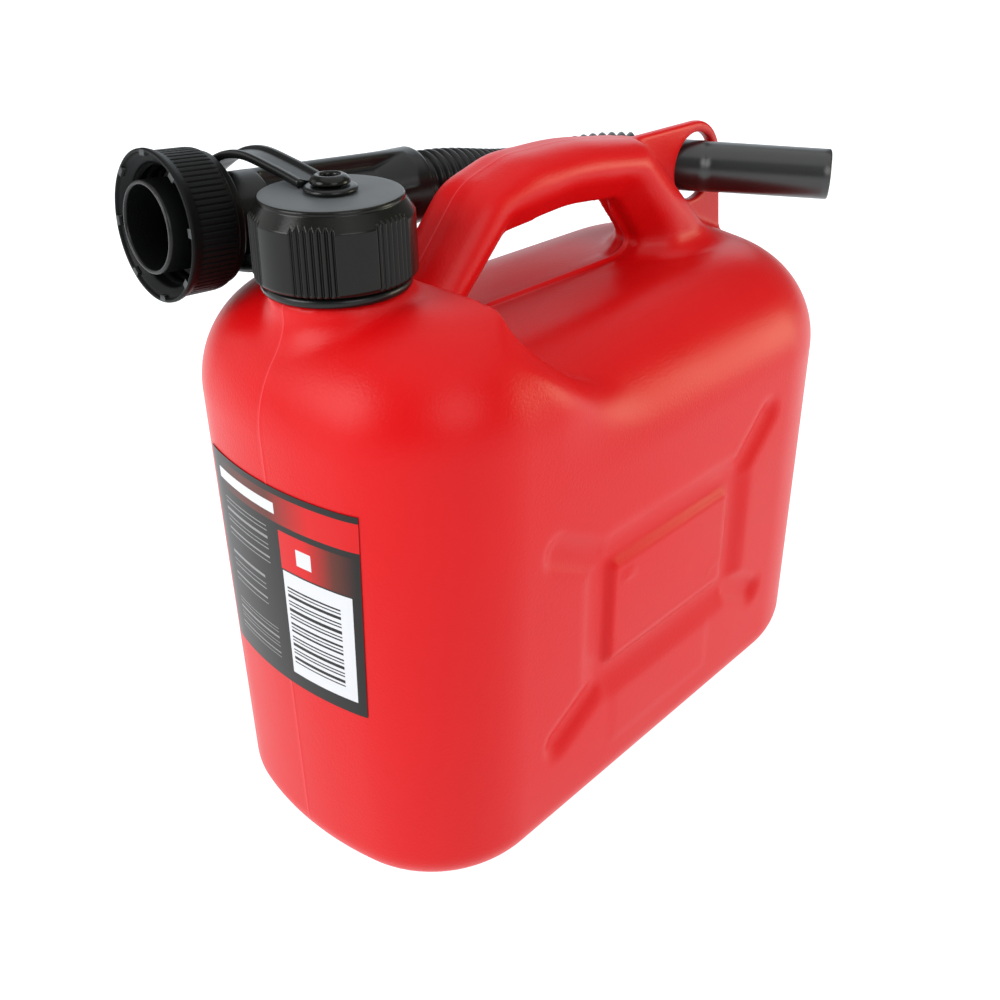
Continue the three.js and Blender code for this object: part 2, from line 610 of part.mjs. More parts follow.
function spoutBase() {
  const ringStart = BASE_LENGTH - SPOUT_RING.length;
  const shell = tube([
    [-SPOUT_MOUTH.reach, SPOUT_MOUTH.radius], [flangeStart, SPOUT_MOUTH.radius],
    [flangeStart + 0.01, SPOUT_FLANGE.radius], [flangeEnd, SPOUT_FLANGE.radius],
    [flangeEnd + 0.01, SPOUT_TUBE], [SPOUT_TUBE_END - 5, SPOUT_TUBE], [SPOUT_TUBE_END - 1.5, SPOUT_TUBE - 1],
    [SPOUT_TUBE_END + 2, SPOUT_CORE], [ringStart - 6, SPOUT_CORE], [ringStart, SPOUT_RING.radius - 0.6],
    [ringStart + 0.8, SPOUT_RING.radius], [BASE_LENGTH - 0.8, SPOUT_RING.radius],
    [BASE_LENGTH, SPOUT_RING.radius - 0.8], [BASE_LENGTH + 0.01, SPIGOT_RADIUS],
    [BASE_LENGTH + SPIGOT_LENGTH, SPIGOT_RADIUS],
  ], 32);
  const bore = tube([
    [-SPOUT_MOUTH.reach - 1, SPOUT_MOUTH.bore], [flangeStart, SPOUT_MOUTH.bore],
    [flangeEnd, SPOUT_TUBE_BORE], [SPOUT_TUBE_END - 6, SPOUT_TUBE_BORE],
    [SPOUT_TUBE_END + 2, SPOUT_BORE], [BASE_LENGTH + SPIGOT_LENGTH + 1, SPOUT_BORE],
  ], 28);
  const turn = new THREE.Matrix4().makeRotationZ(BASE_HEADING);
  turn.multiply(new THREE.Matrix4().makeRotationY(-Math.atan(BASE_SLOPE)));
  const rails = [];
  for (let i = 0; i < RAIL_COUNT; i += 1) {
    const length = ringStart - SPOUT_TUBE_END + 4;
    const height = SPOUT_TUBE - SPOUT_BORE - 1.2;
    const rail = new THREE.BoxGeometry(length, RAIL_WIDTH, height);
    rail.translate(SPOUT_TUBE_END - 2 + length / 2, 0, SPOUT_TUBE - height / 2);
    rail.rotateX((2 * Math.PI * i) / RAIL_COUNT);
    rail.applyMatrix4(turn);
    rail.translate(SPOUT_START.x, SPOUT_START.y, SPOUT_START.z);
    rails.push(solid(rail));
  }
  return rails.reduce((sum, rail) => sum.add(rail), shell).subtract(bore);
}

function spoutHose() {
  const start = BASE_LENGTH + RUN_GAP;
  const end = lugDistance - NOZZLE_BEFORE_LUG - RUN_GAP;
  const folds = Math.round((end - start - 2 * HOSE_CUFF) / HOSE_PITCH);
  const pitch = (end - start - 2 * HOSE_CUFF) / folds;
  const profile = [[start, HOSE_ROOT]];
  for (let i = 0; i < folds; i += 1) {
    const at = start + HOSE_CUFF + i * pitch;
    profile.push([at, HOSE_ROOT], [at + pitch / 2, HOSE_CREST]);
  }
  profile.push([end - HOSE_CUFF, HOSE_ROOT], [end, HOSE_ROOT]);
  const bore = [];
  for (let i = 0; i <= folds; i += 2) {
    bore.push([start - 1 + ((end - start + 2) * i) / folds, HOSE_BORE]);
  }
  if (folds % 2) {
    bore.push([end + 1, HOSE_BORE]);
  }
  return tube(profile, 16).subtract(tube(bore, 16));
}

function spoutNozzle() {
  const start = lugDistance - NOZZLE_BEFORE_LUG;
  const cuffEnd = start + NOZZLE_CUFF.length;
  const end = lugDistance + NOZZLE_AFTER_LUG;
  const shell = tube([
    [start - SPIGOT_LENGTH, SPIGOT_RADIUS], [start - 0.01, SPIGOT_RADIUS], [start, NOZZLE_CUFF.radius],
    [cuffEnd, NOZZLE_CUFF.radius], [cuffEnd + 0.3, NOZZLE_RADIUS], [end, NOZZLE_TIP_RADIUS],
  ], 32);
  return shell.subtract(tube([[start - SPIGOT_LENGTH - 1, NOZZLE_BORE], [end + 1, NOZZLE_BORE]], 28));
}

const group = new THREE.Group();
group.name = 'fuel_can';
group.add(piece('can_body', canBody(), red));
group.add(piece('front_label', frontLabel(), printed));
group.add(piece('cap_shell', capShell(), black));
group.add(piece('cap_liner', capLiner(), rubber));
group.add(piece('cap_tether', capTether(), black));
group.add(piece('tether_eyelet', tetherEyelet(), black));
group.add(piece('collar_nut', collarNut(), black));
group.add(piece('spout_gasket', spoutGasket(), rubber));
group.add(piece('spout_base', spoutBase(), black));
group.add(piece('spout_hose', spoutHose(), black));
group.add(piece('spout_nozzle', spoutNozzle(), black));

export default group;
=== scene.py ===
# %% [markdown]
# # A moulded fuel can with a tethered cap and a stowed spout
#
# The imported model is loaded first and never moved. It says where every piece belongs, so
# each finer surface below is worked out in the same frame and takes the place of one solid.

# %% Load the frame
import math

import bpy
import numpy as np
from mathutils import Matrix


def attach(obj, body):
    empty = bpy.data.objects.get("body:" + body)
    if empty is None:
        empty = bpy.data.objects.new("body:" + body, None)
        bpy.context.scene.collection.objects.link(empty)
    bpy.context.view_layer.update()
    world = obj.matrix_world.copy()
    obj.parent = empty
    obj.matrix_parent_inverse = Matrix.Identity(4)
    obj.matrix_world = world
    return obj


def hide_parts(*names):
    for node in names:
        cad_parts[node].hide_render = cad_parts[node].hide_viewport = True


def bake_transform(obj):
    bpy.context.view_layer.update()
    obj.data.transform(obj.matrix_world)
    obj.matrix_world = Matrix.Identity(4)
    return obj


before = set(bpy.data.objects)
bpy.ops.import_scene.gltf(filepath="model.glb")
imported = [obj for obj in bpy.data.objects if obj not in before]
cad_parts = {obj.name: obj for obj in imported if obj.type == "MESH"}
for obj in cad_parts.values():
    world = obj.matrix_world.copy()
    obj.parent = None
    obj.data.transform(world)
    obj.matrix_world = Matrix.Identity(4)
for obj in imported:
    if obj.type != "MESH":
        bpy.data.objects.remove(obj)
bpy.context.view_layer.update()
MM = 0.001

# %% [markdown]
# ## The camera
#
# The photograph looks down on the neck end from the near left. The lens axis does not meet the middle of the
# picture, as in one cut out of a wider frame, so the camera gets a small shift.

# %% Camera
camera_data = bpy.data.cameras.new("camera")
camera_data.sensor_width = 36.0
camera_data.lens = 41.38
camera_data.shift_x = -0.0331
camera_data.shift_y = -0.0923
camera = bpy.data.objects.new("camera", camera_data)
camera.location = (-0.31253, -0.27130, 0.32772)
camera.rotation_euler = (math.radians(64.53), 0.0, math.radians(-48.22))
bpy.context.scene.collection.objects.link(camera)
bpy.context.scene.camera = camera
print("camera at", [round(value, 3) for value in camera.location])

# %% [markdown]
# ## Laying a surface into a mesh
#
# Most pieces here are a grid of points: rows along a profile or path, columns around it.
# The faces of such a grid follow from the row and column numbers alone, so they are
# worked out as whole arrays too.


# %% Grid helpers
def grid_quads(rows, columns, close_rows):
    """Quads of a grid whose columns run round and whose rows may close on themselves."""
    steps = rows if close_rows else rows - 1
    row, column = np.meshgrid(np.arange(steps), np.arange(columns), indexing="ij")
    beside = (column + 1) % columns
    here = row * columns
    there = ((row + 1) % rows) * columns
    corners = [here + column, here + beside, there + beside, there + column]
    return np.stack([corner.ravel() for corner in corners], axis=1)


def end_fan(start, columns, centre, outward_last):
    """Triangles from one ring of the grid to a centre point."""
    column = np.arange(columns)
    first = start + column
    second = start + (column + 1) % columns
    hub = np.full(columns, centre)
    order = [first, second, hub] if outward_last else [second, first, hub]
    return np.stack(order, axis=1)


def add_piece(name, points, faces, material, body, nodes):
    """Turn points in millimetres into a smooth object that replaces CAD nodes.
    It rides on a body, if one is given."""
    mesh = bpy.data.meshes.new(name)
    mesh.from_pydata((np.asarray(points) * MM).tolist(), [], faces)
    mesh.polygons.foreach_set("use_smooth", np.ones(len(mesh.polygons), dtype=bool))
    mesh.update()
    piece = bpy.data.objects.new(name, mesh)
    bpy.context.scene.collection.objects.link(piece)
    mesh.materials.append(material)
    if body:
        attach(piece, body)
    if nodes:
        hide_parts(*nodes)
    print(name, len(mesh.vertices), "points", len(mesh.polygons), "faces")
    return piece


def add_tube(name, grid, material, body, nodes, close_rows=True):
    """A piece from a tube-like grid. Where its rows do not close, each end gets a fan to its middle."""
    rows, columns = grid.shape[:2]
    points = grid.reshape(-1, 3)
    faces = grid_quads(rows, columns, close_rows).tolist()
    if not close_rows:
        hubs = np.stack([grid[0].mean(axis=0), grid[-1].mean(axis=0)])
        first = len(points)
        points = np.vstack([points, hubs])
        faces += end_fan(0, columns, first, False).tolist()
        faces += end_fan((rows - 1) * columns, columns, first + 1, True).tolist()
    return add_piece(name, points, faces, material, body, nodes)


# %% [markdown]
# ## Finishes
#
# The can is blow-moulded plastic: one red through and through, with the fine grain of the mould and a
# slightly uneven gloss. The black mouldings share the same grain at another strength, so the grain
# is one node group, placed in each material with its own values.


# %% Node helpers
def new_group(name, inputs, outputs):
    """A shader node group with named sockets, given as pairs of name and kind, and its two ends."""
    group = bpy.data.node_groups.new(name, "ShaderNodeTree")
    for way, sockets in (("INPUT", inputs), ("OUTPUT", outputs)):
        for socket, kind in sockets:
            group.interface.new_socket(socket, in_out=way, socket_type="NodeSocket" + kind)
    return group, group.nodes.new("NodeGroupInput"), group.nodes.new("NodeGroupOutput")


def new_finish(name):
    """A material with its node tree and its shader."""
    material = bpy.data.materials.new(name)
    material.use_nodes = True
    return material, material.node_tree, material.node_tree.nodes["Principled BSDF"]


def mixed(tree, mask, under, over):
    """Two colours mixed by a mask. Each is a plain colour or the output of another node."""
    mix = tree.nodes.new("ShaderNodeMix")
    mix.data_type = "RGBA"
    tree.links.new(mask, mix.inputs["Factor"])
    for socket, colour in (("A", under), ("B", over)):
        if isinstance(colour, tuple):
            mix.inputs[socket].default_value = (*colour, 1.0)
        else:
            tree.links.new(colour, mix.inputs[socket])
    return mix.outputs["Result"]


def mapped(tree, value, span, result):
    """A value carried in a straight line from one span to another, and held at its ends."""
    node = tree.nodes.new("ShaderNodeMapRange")
    for socket, number in zip(("From Min", "From Max", "To Min", "To Max"), (*span, *result)):
        node.inputs[socket].default_value = number
    tree.links.new(value, node.inputs["Value"])
    return node.outputs["Result"]


# %% Moulded grain
CLOUD_SPAN = (0.3, 0.7)
GRAIN_DEPTH = 0.0002
GRAIN_NOISES = [("Grain Scale", "Height", 3.0, 0.55), ("Cloud Scale", "Cloud", 4.0, 0.5)]


def make_grain_group():
    """Two noises on Object coordinates: a fine one for the grain's height and a wide one for clouds."""
    group, entry, leave = new_group(
        "moulded_grain", [("Grain Scale", "Float"), ("Cloud Scale", "Float")],
        [("Height", "Float"), ("Cloud", "Float")])
    place = group.nodes.new("ShaderNodeTexCoord")
    for scale, out, detail, roughness in GRAIN_NOISES:
        noise = group.nodes.new("ShaderNodeTexNoise")
        noise.inputs["Detail"].default_value = detail
        noise.inputs["Roughness"].default_value = roughness
        group.links.new(place.outputs["Object"], noise.inputs["Vector"])
        group.links.new(entry.outputs[scale], noise.inputs["Scale"])
        group.links.new(noise.outputs["Fac"], leave.inputs[out])
    return group


grain_group = make_grain_group()


def moulded(name, dark, light, rough, grain, clouds, bump, specular=0.5):
    """Moulded plastic: colour and gloss drift with a cloud, and fine grain breaks up the highlights."""
    material, tree, shader = new_finish(name)
    shader.inputs["Specular IOR Level"].default_value = specular
    texture = tree.nodes.new("ShaderNodeGroup")
    texture.node_tree = grain_group
    texture.inputs["Grain Scale"].default_value = grain
    texture.inputs["Cloud Scale"].default_value = clouds
    cloud = texture.outputs["Cloud"]
    tree.links.new(mixed(tree, cloud, dark, light), shader.inputs["Base Color"])
    tree.links.new(mapped(tree, cloud, CLOUD_SPAN, rough), shader.inputs["Roughness"])
    relief = tree.nodes.new("ShaderNodeBump")
    relief.inputs["Strength"].default_value = bump
    relief.inputs["Distance"].default_value = GRAIN_DEPTH
    tree.links.new(texture.outputs["Height"], relief.inputs["Height"])
    tree.links.new(relief.outputs["Normal"], shader.inputs["Normal"])
    print("finish:", name)
    return material


# %% Plastics and rubber
red_shell = moulded("red_shell", (0.56, 0.0018, 0.0030), (0.61, 0.0026, 0.0042), rough=(0.32, 0.40),
                    grain=1100.0, clouds=18.0, bump=0.5, specular=0.2)
black_satin = moulded("black_satin", (0.003, 0.0033, 0.0033), (0.006, 0.0065, 0.0065), rough=(0.26, 0.36),
                      grain=1500.0, clouds=40.0, bump=0.15, specular=0.3)
black_soft = moulded("black_soft", (0.003, 0.004, 0.004), (0.005, 0.006, 0.006), rough=(0.28, 0.34),
                     grain=1500.0, clouds=40.0, bump=0.1, specular=0.75)
black_cap = moulded("black_cap", (0.004, 0.0042, 0.0034), (0.007, 0.0072, 0.006), rough=(0.18, 0.26),
                    grain=1500.0, clouds=40.0, bump=0.1, specular=0.22)
black_dull = moulded("black_dull", (0.003, 0.0034, 0.0034), (0.005, 0.0055, 0.0055), rough=(0.40, 0.50),
                     grain=1800.0, clouds=40.0, bump=0.3, specular=0.12)
grey_disc = moulded("grey_disc", (0.074, 0.081, 0.085), (0.096, 0.104, 0.108), rough=(0.50, 0.62),
                    grain=1800.0, clouds=40.0, bump=0.3)
grey_stud = moulded("grey_stud", (0.026, 0.03, 0.03), (0.036, 0.04, 0.04), rough=(0.46, 0.58),
                    grain=1800.0, clouds=40.0, bump=0.2)
seal_rubber = moulded("seal_rubber", (0.012, 0.012, 0.012), (0.02, 0.02, 0.02), rough=(0.6, 0.75),
                      grain=1400.0, clouds=60.0, bump=0.3)

# %% [markdown]
# Where the two halves of the mould met, the red shell has a thin pale line in its middle plane. It is partly
# the paler, stress-whitened plastic of the seam and partly a painted highlight on the seam's ridge. The line
# is drawn from each point's distance to that plane.

# %% Pale line of the mould, partly painted highlight
SEAM_HALF = 0.00035
SEAM_STRENGTH = 0.45
# Pale pink of the seam: partly whitened plastic, partly a painted highlight.
SEAM_PALE_AND_HIGHLIGHT = (0.80, 0.10, 0.12)


def paint_seam_whitening_and_highlight(material):
    """Lay a pale line over the material's colour where a point is nearer to the middle plane than
    the line's half width. It is strongest in the plane itself."""
    tree = material.node_tree
    paint = tree.nodes["Principled BSDF"].inputs["Base Color"]
    place = tree.nodes.new("ShaderNodeTexCoord")
    split = tree.nodes.new("ShaderNodeSeparateXYZ")
    tree.links.new(place.outputs["Object"], split.inputs[0])
    aside = tree.nodes.new("ShaderNodeMath")
    aside.operation = "ABSOLUTE"
    tree.links.new(split.outputs["Y"], aside.inputs[0])
    line = mapped(tree, aside.outputs[0], (0.0, SEAM_HALF), (SEAM_STRENGTH, 0.0))
    # Painted highlight: the pale mix is partly the seam's stress-whitened plastic and partly the light its
    # ridge catches.
    tree.links.new(mixed(tree, line, paint.links[0].from_socket, SEAM_PALE_AND_HIGHLIGHT), paint)


paint_seam_whitening_and_highlight(red_shell)

# %% [markdown]
# ## The can as one field
#
# A blow-moulded can has no edges of its own: roof, dome, handle and lug run into each other. A grid of
# two parameters cannot branch like that, so the can is described by a distance: negative inside,
# positive outside. Two forms are joined by the smaller distance and cut by the larger one, and
# both choices can be rounded with a radius, which gives every fillet of the moulding.


# %% Rounded joins and cuts
def rounded_max(a, b, radius):
    """Keep what both forms share; the edge between them is rounded by the radius."""
    arc = np.hypot(np.maximum(a + radius, 0), np.maximum(b + radius, 0))
    return np.minimum(np.maximum(a, b), -radius) + arc


def rounded_min(a, b, radius):
    """Join two forms; the inner corner between them is filled by the radius."""
    arc = np.hypot(np.maximum(radius - a, 0), np.maximum(radius - b, 0))
    return np.maximum(np.minimum(a, b), radius) - arc


def soft_step(value, low, high):
    """Rise smoothly from 0 at low to 1 at high."""
    t = np.clip((value - low) / (high - low), 0, 1)
    return t * t * (3 - 2 * t)


# %% Plan of the can
LENGTH = 266.0
HALF_WIDTH = 65.5
DRAFT = 0.016
DRAFT_HEIGHT = 80.0
FRONT_END = (133.0, 46.0)
REAR_END = (98.0, 62.0)


def plan_end(x, y, bulge, corner):
    """Distance to one bulged end that faces +x: bulge arc, corner arc, then the straight side."""
    across = HALF_WIDTH - corner
    along = math.sqrt((bulge - corner) ** 2 - across ** 2)
    bulge_x = LENGTH / 2 - bulge
    corner_x = bulge_x + along
    wide = np.abs(y)
    on_bulge = wide * along < (x - bulge_x) * across
    bulge_gap = np.hypot(x - bulge_x, y) - bulge
    corner_gap = np.hypot(np.maximum(x - corner_x, 0), np.maximum(wide - across, 0)) - corner
    return np.where(on_bulge, bulge_gap, corner_gap)


def plan_distance(x, y):
    """Distance to the outline of the can seen from above, at the height where its width is measured."""
    rear = plan_end(x, y, *REAR_END)
    front = plan_end(-x, y, *FRONT_END)
    return np.where(x > 0, rear, front)


# %% [markdown]
# The handle and the lug are flat drawings in the middle plane, given a width. Their outlines are polygons
# with rounded corners. The distance to an outline is worked out once on a fine sheet of points,
# and any other point reads its value between the four nearest of them.

# %% Outlines in the middle plane
HANDLE_OUTLINE = [(-97, 172, 2), (108, 172, 2), (46, 230.9, 14), (8, 236, 150), (-24, 236, 40),
                  (-46, 229.5, 22)]
HANDLE_OPENING = [(-67, 175, 3), (48, 175, 3), (49.5, 190.5, 12), (33, 210.6, 8), (2, 213.6, 60),
                  (-31, 210.6, 2.5)]
LUG_EYE = (91.0, 211.5)
LUG_HOLE = 14.1
LUG_RIM = 18.6
LUG_OUTLINE = [(77, 168, 1), (109.6, 168, 0.1), (109.6, 230.1, LUG_RIM), (42, 230.1, 1)]
LUG_FOOT = [(77, 168, 1), (115, 168, 1), (109.6, 211, 0.1), (77, 211, 0.1)]


def rounded_polygon(corners, steps=10):
    """Points round a convex polygon whose corners are arcs; corners run anticlockwise."""
    spots = np.array([corner[:2] for corner in corners], dtype=float)
    radius = np.array([corner[2] for corner in corners], dtype=float)[:, None]
    along = np.roll(spots, -1, axis=0) - spots
    along /= np.linalg.norm(along, axis=1, keepdims=True)
    before = np.roll(along, 1, axis=0)
    turn = np.arccos(np.clip((before * along).sum(axis=1, keepdims=True), -1, 1))
    inward = np.stack([-before[:, 1], before[:, 0]], axis=1)
    centre = spots - before * radius * np.tan(turn / 2) + inward * radius
    start = np.arctan2(-before[:, :1], before[:, 1:])
    angle = start + turn * np.linspace(0, 1, steps + 1)[None, :]
    ring = np.stack([np.cos(angle), np.sin(angle)], axis=2) * radius[:, :, None]
    return (centre[:, None, :] + ring).reshape(-1, 2)


def segment_distance(px, pz, starts, ends):
    """Distance from every point to the nearest of a set of straight segments."""
    along = ends - starts
    length = (along ** 2).sum(axis=1) + 1e-12
    dx = px[..., None] - starts[:, 0]
    dz = pz[..., None] - starts[:, 1]
    t = np.clip((dx * along[:, 0] + dz * along[:, 1]) / length, 0, 1)
    return np.sqrt((dx - t * along[:, 0]) ** 2 + (dz - t * along[:, 1]) ** 2).min(axis=-1)


def side_view(corners):
    """A rule for the signed distance to a rounded convex polygon: negative where every edge has the
    point on its left."""
    outline = rounded_polygon(corners)
    ends = np.roll(outline, -1, axis=0)
    along = ends - outline

    def rule(px, pz):
        gap = segment_distance(px, pz, outline, ends)
        side = along[:, 0] * (pz[..., None] - outline[:, 1]) - along[:, 1] * (px[..., None] - outline[:, 0])
        return np.where((side >= -1e-9).all(axis=-1), -gap, gap)

    return rule


lug_plate = side_view(LUG_OUTLINE)
lug_foot = side_view(LUG_FOOT)


def lug_rule(x, z):
    """The lug's side view: a plate with a round eye, whose foot spreads to the rear."""
    plate = np.minimum(lug_plate(x, z), lug_foot(x, z))
    return np.maximum(plate, LUG_HOLE - np.hypot(x - LUG_EYE[0], z - LUG_EYE[1]))


# %% Sheets of distances
SHEET_STEP = 0.5
SHEET_HEIGHTS = (150, 250)


class Sheet:
    """Values kept on a fine sheet of x and z, read back between its points."""

    def __init__(self, x_range, z_range, step, rule):
        self.origin = (x_range[0], z_range[0])
        self.step = step
        x = np.arange(x_range[0], x_range[1] + step, step)
        z = np.arange(z_range[0], z_range[1] + step, step)
        self.values = np.stack([rule(np.full_like(z, one), z) for one in x])

    def at(self, x, z):
        columns, rows = self.values.shape
        u = np.clip((x - self.origin[0]) / self.step, 0, columns - 1.001)
        v = np.clip((z - self.origin[1]) / self.step, 0, rows - 1.001)
        i = u.astype(int)
        j = v.astype(int)
        u = u - i
        v = v - j
        low = self.values[i, j] * (1 - u) + self.values[i + 1, j] * u
        high = self.values[i, j + 1] * (1 - u) + self.values[i + 1, j + 1] * u
        return low * (1 - v) + high * v


bow_sheet = Sheet((-140, 140), SHEET_HEIGHTS, SHEET_STEP, side_view(HANDLE_OUTLINE))
gap_sheet = Sheet((-140, 140), SHEET_HEIGHTS, SHEET_STEP, side_view(HANDLE_OPENING))
lug_sheet = Sheet((0, 140), SHEET_HEIGHTS, SHEET_STEP, lug_rule)
print("handle sheet:", bow_sheet.values.shape)

# %% [markdown]
# Each long side has a pressed frame: a round-bottomed groove round a flat panel, with an arm running out
# from every corner. Its depth depends only on how far a point is from the panel's edge and from the arms.

# %% Pressed frame on the sides
GROOVE_DEPTH = 2.5
PANEL = (-38.6, 31.7, 63.0, 102.3)
GROOVE_HALF = 8.5
GROOVE_WALL = (0.0, 3.6)
GROOVE_EASE = (7.0, 2 * GROOVE_HALF + 2)
ARM_HALF = 7.5
ARM_FADE = (0.15 * ARM_HALF, ARM_HALF + 1.5)
ARM_ENDS = [(-70, 124), (-68, 43), (58, 128), (58.5, 43.5)]
TICK_HEIGHT = 0.7
TICK_FADE = (0.2, 1.0)
TICKS = [((-33.5, 96.4), (-28.2, 96.4)), ((-33.5, 96.4), (-33.5, 94.0)),
         ((23.2, 72.6), (26.5, 72.6)), ((23.2, 72.6), (23.2, 69.4))]
PLATE = (-37.0, 26.0, 23.0, 46.0)
PLATE_HEIGHT = 0.25
PLATE_FADE = (-0.6, 0.6)


def box_distance(x, z, box):
    """Distance outside a rectangle of x and z, negative inside it."""
    left, right, low, high = box
    return rounded_max(np.maximum(left - x, x - right), np.maximum(low - z, z - high), 0.01)


def groove_rule(x, z):
    """Depth of the pressed frame: steep at the panel, easing out at the far edge, with soft arms.
    Two small ticks on the panel and a bare plate under the frame stand up instead."""
    left, right, low, high = PANEL
    outside = box_distance(x, z, PANEL)
    frame_depth = soft_step(outside, *GROOVE_WALL) * (1 - soft_step(outside, *GROOVE_EASE))
    corners = [(left - GROOVE_HALF, high + GROOVE_HALF), (left - GROOVE_HALF, low - GROOVE_HALF),
               (right + GROOVE_HALF, high + GROOVE_HALF), (right + GROOVE_HALF, low - GROOVE_HALF)]
    arm_gap = segment_distance(x, z, np.array(corners, dtype=float), np.array(ARM_ENDS, dtype=float))
    arm_depth = 1 - soft_step(arm_gap, *ARM_FADE)
    ends = np.array(TICKS, dtype=float)
    tick = 1 - soft_step(segment_distance(x, z, ends[:, 0], ends[:, 1]), *TICK_FADE)
    plate = 1 - soft_step(box_distance(x, z, PLATE), *PLATE_FADE)
    raised = np.maximum(TICK_HEIGHT * tick, PLATE_HEIGHT * plate)
    return GROOVE_DEPTH * np.maximum(frame_depth, arm_depth) - raised


groove_sheet = Sheet((-110, 100), (10, 150), 0.25, groove_rule)
print("deepest groove:", round(float(groove_sheet.values.max()), 2), "mm")

# %% [markdown]
# Now the whole can. The dome around the neck is the same pillow as the main tank under a higher roof. Behind
# the neck it drops to the tank: in a steep crisp step on the roof, and in a wide soft one down the sides.
# A thin ridge runs all round in the middle plane, where the two halves of the mould met, and it
# stands higher on the floor under the handle.

# %% The can's forms
SIDE_DEEPEST = -44.0
GROOVE_SIDES = (40.0, 56.0)
ROOF = 183.0
ROOF_EDGE = 40.0
DOME = 206.0
DOME_EDGE = 38.0
STEP_X = -72.5
STEP_WIDTH = (6.0, 60.0)
STEP_SIDES = (41.0, 60.0)
SWEEP_SIDES = (34.0, 60.0)
SWEEP_LIMIT = 1.3
SWEEP_BACK = 20.0
BASE_EDGE = 14.0
HANDLE_HALF = 15.0
HANDLE_EDGE = 11.0
FLARE_START = 6.0
FLARE_SLOPE = 1.2
FLARE_EDGE = 2.6
ROOT_FILLET = (6.0, 9.0)
ROOT_SPAN = (15.0, 60.0)
LUG_HALF = 2.25
LUG_EDGE = 1.4
LUG_FILLET = 3.0
NECK_X = -100.0
COLLAR_RADIUS = 21.5
COLLAR_TOP = 208.5
COLLAR_EDGE = 0.8
COLLAR_FILLET = 5.0


def stepped(front, rear, x, y):
    """Change from the front form to the rear one across a step that sweeps back and widens towards the
    sides. The result is divided by its slope, so that it stays a distance where the step is steep."""
    wide = np.abs(y)
    aside = np.clip((wide - SWEEP_SIDES[0]) / (SWEEP_SIDES[1] - SWEEP_SIDES[0]), 0, SWEEP_LIMIT)
    width = STEP_WIDTH[0] + (STEP_WIDTH[1] - STEP_WIDTH[0]) * soft_step(wide, *STEP_SIDES)
    t = np.clip((x - STEP_X - SWEEP_BACK * aside ** 2) / width + 0.5, 0, 1)
    drop = rear - front
    steep = drop * 6 * t * (1 - t) / width
    return (front + drop * t * t * (3 - 2 * t)) / np.hypot(1, steep)


def handle_form(x, y, z):
    """The bow, rounded over its top, and cut by a gap whose walls slope outwards to a crisp edge."""
    wide = np.abs(y)
    bow = rounded_max(bow_sheet.at(x, z), wide - HANDLE_HALF, HANDLE_EDGE)
    flare = FLARE_SLOPE * np.maximum(wide - FLARE_START, 0)
    gap = (flare - gap_sheet.at(x, z)) / math.hypot(1, FLARE_SLOPE)
    return rounded_max(bow, gap, FLARE_EDGE)


def can_form(x, y, z):
    """Distance to the can's outer skin without its mould lines, in millimetres."""
    side = np.maximum(plan_distance(x, y) - DRAFT * (z - DRAFT_HEIGHT), SIDE_DEEPEST)
    side = side + groove_sheet.at(x, z) * soft_step(np.abs(y), *GROOVE_SIDES)
    tank = rounded_max(side, z - ROOF, ROOF_EDGE)
    pillow = rounded_max(side, z - DOME, DOME_EDGE)
    form = stepped(pillow, tank, x, y)
    fillet = ROOT_FILLET[0] + (ROOT_FILLET[1] - ROOT_FILLET[0]) * soft_step(x, *ROOT_SPAN)
    form = rounded_min(form, handle_form(x, y, z), fillet)
    lug = rounded_max(lug_sheet.at(x, z), np.abs(y) - LUG_HALF, LUG_EDGE)
    form = rounded_min(form, lug, LUG_FILLET)
    collar = rounded_max(np.hypot(x - NECK_X, y) - COLLAR_RADIUS, z - COLLAR_TOP, COLLAR_EDGE)
    collar = np.maximum(collar, ROOF - z)
    form = rounded_min(form, collar, COLLAR_FILLET)
    return rounded_max(form, -z, BASE_EDGE)


# %% Mould lines
RIDGE_HEIGHT = 0.11
RIDGE_HALF = 0.6
RIDGE_FOOT = (8.0, 20.0)
PINCH_HEIGHT = 1.3
PINCH_HALF = 0.9
PINCH_FRONT = (-40.0, -32.0)
PINCH_REAR = (44.0, 54.0)
PINCH_CEILING = 208.0
PINCH_FADE = 6.0
PINCH_FOOT = (170.0, 178.0)


def can_field(x, y, z):
    """The can's form with the ridge of the mould and the higher pinch line under the handle."""
    ridge = RIDGE_HEIGHT * np.exp(-(y / RIDGE_HALF) ** 2) * soft_step(z, *RIDGE_FOOT)
    along_gap = soft_step(x, *PINCH_FRONT) * (1 - soft_step(x, *PINCH_REAR))
    under_handle = along_gap * soft_step(PINCH_CEILING - z, 0, PINCH_FADE)
    pinch = PINCH_HEIGHT * np.exp(-(y / PINCH_HALF) ** 2) * under_handle * soft_step(z, *PINCH_FOOT)
    return can_form(x, y, z) - ridge - pinch


# %% [markdown]
# The skin is found on a block of points. Each small box of the block that the surface crosses gets one
# point, each crossed edge joins the points of the four boxes round it with a quad, and the points are then
# slid along the field's slope until they lie on the surface itself.


# %% Values on a block
def graded(low, high, step, spots):
    """Grid lines a full step apart, and closer near each spot, which is given as its place, its reach
    and a finer step."""
    span = np.linspace(low, high, 20001)
    local = [step + (fine - step) * np.exp(-((span - place) / reach) ** 2) for place, reach, fine in spots]
    density = 1.0 / np.min(local, axis=0)
    count = np.concatenate([[0.0], np.cumsum((density[1:] + density[:-1]) / 2 * np.diff(span))])
    lines = int(round(count[-1]))
    return np.interp(np.linspace(0, count[-1], lines + 1), count, span)


def field_values(field, x, y, z):
    """The field on a block of grid lines, one layer of x at a time."""
    layer_y, layer_z = np.meshgrid(y, z, indexing="ij")
    return np.stack([field(np.full_like(layer_y, one), layer_y, layer_z) for one in x])


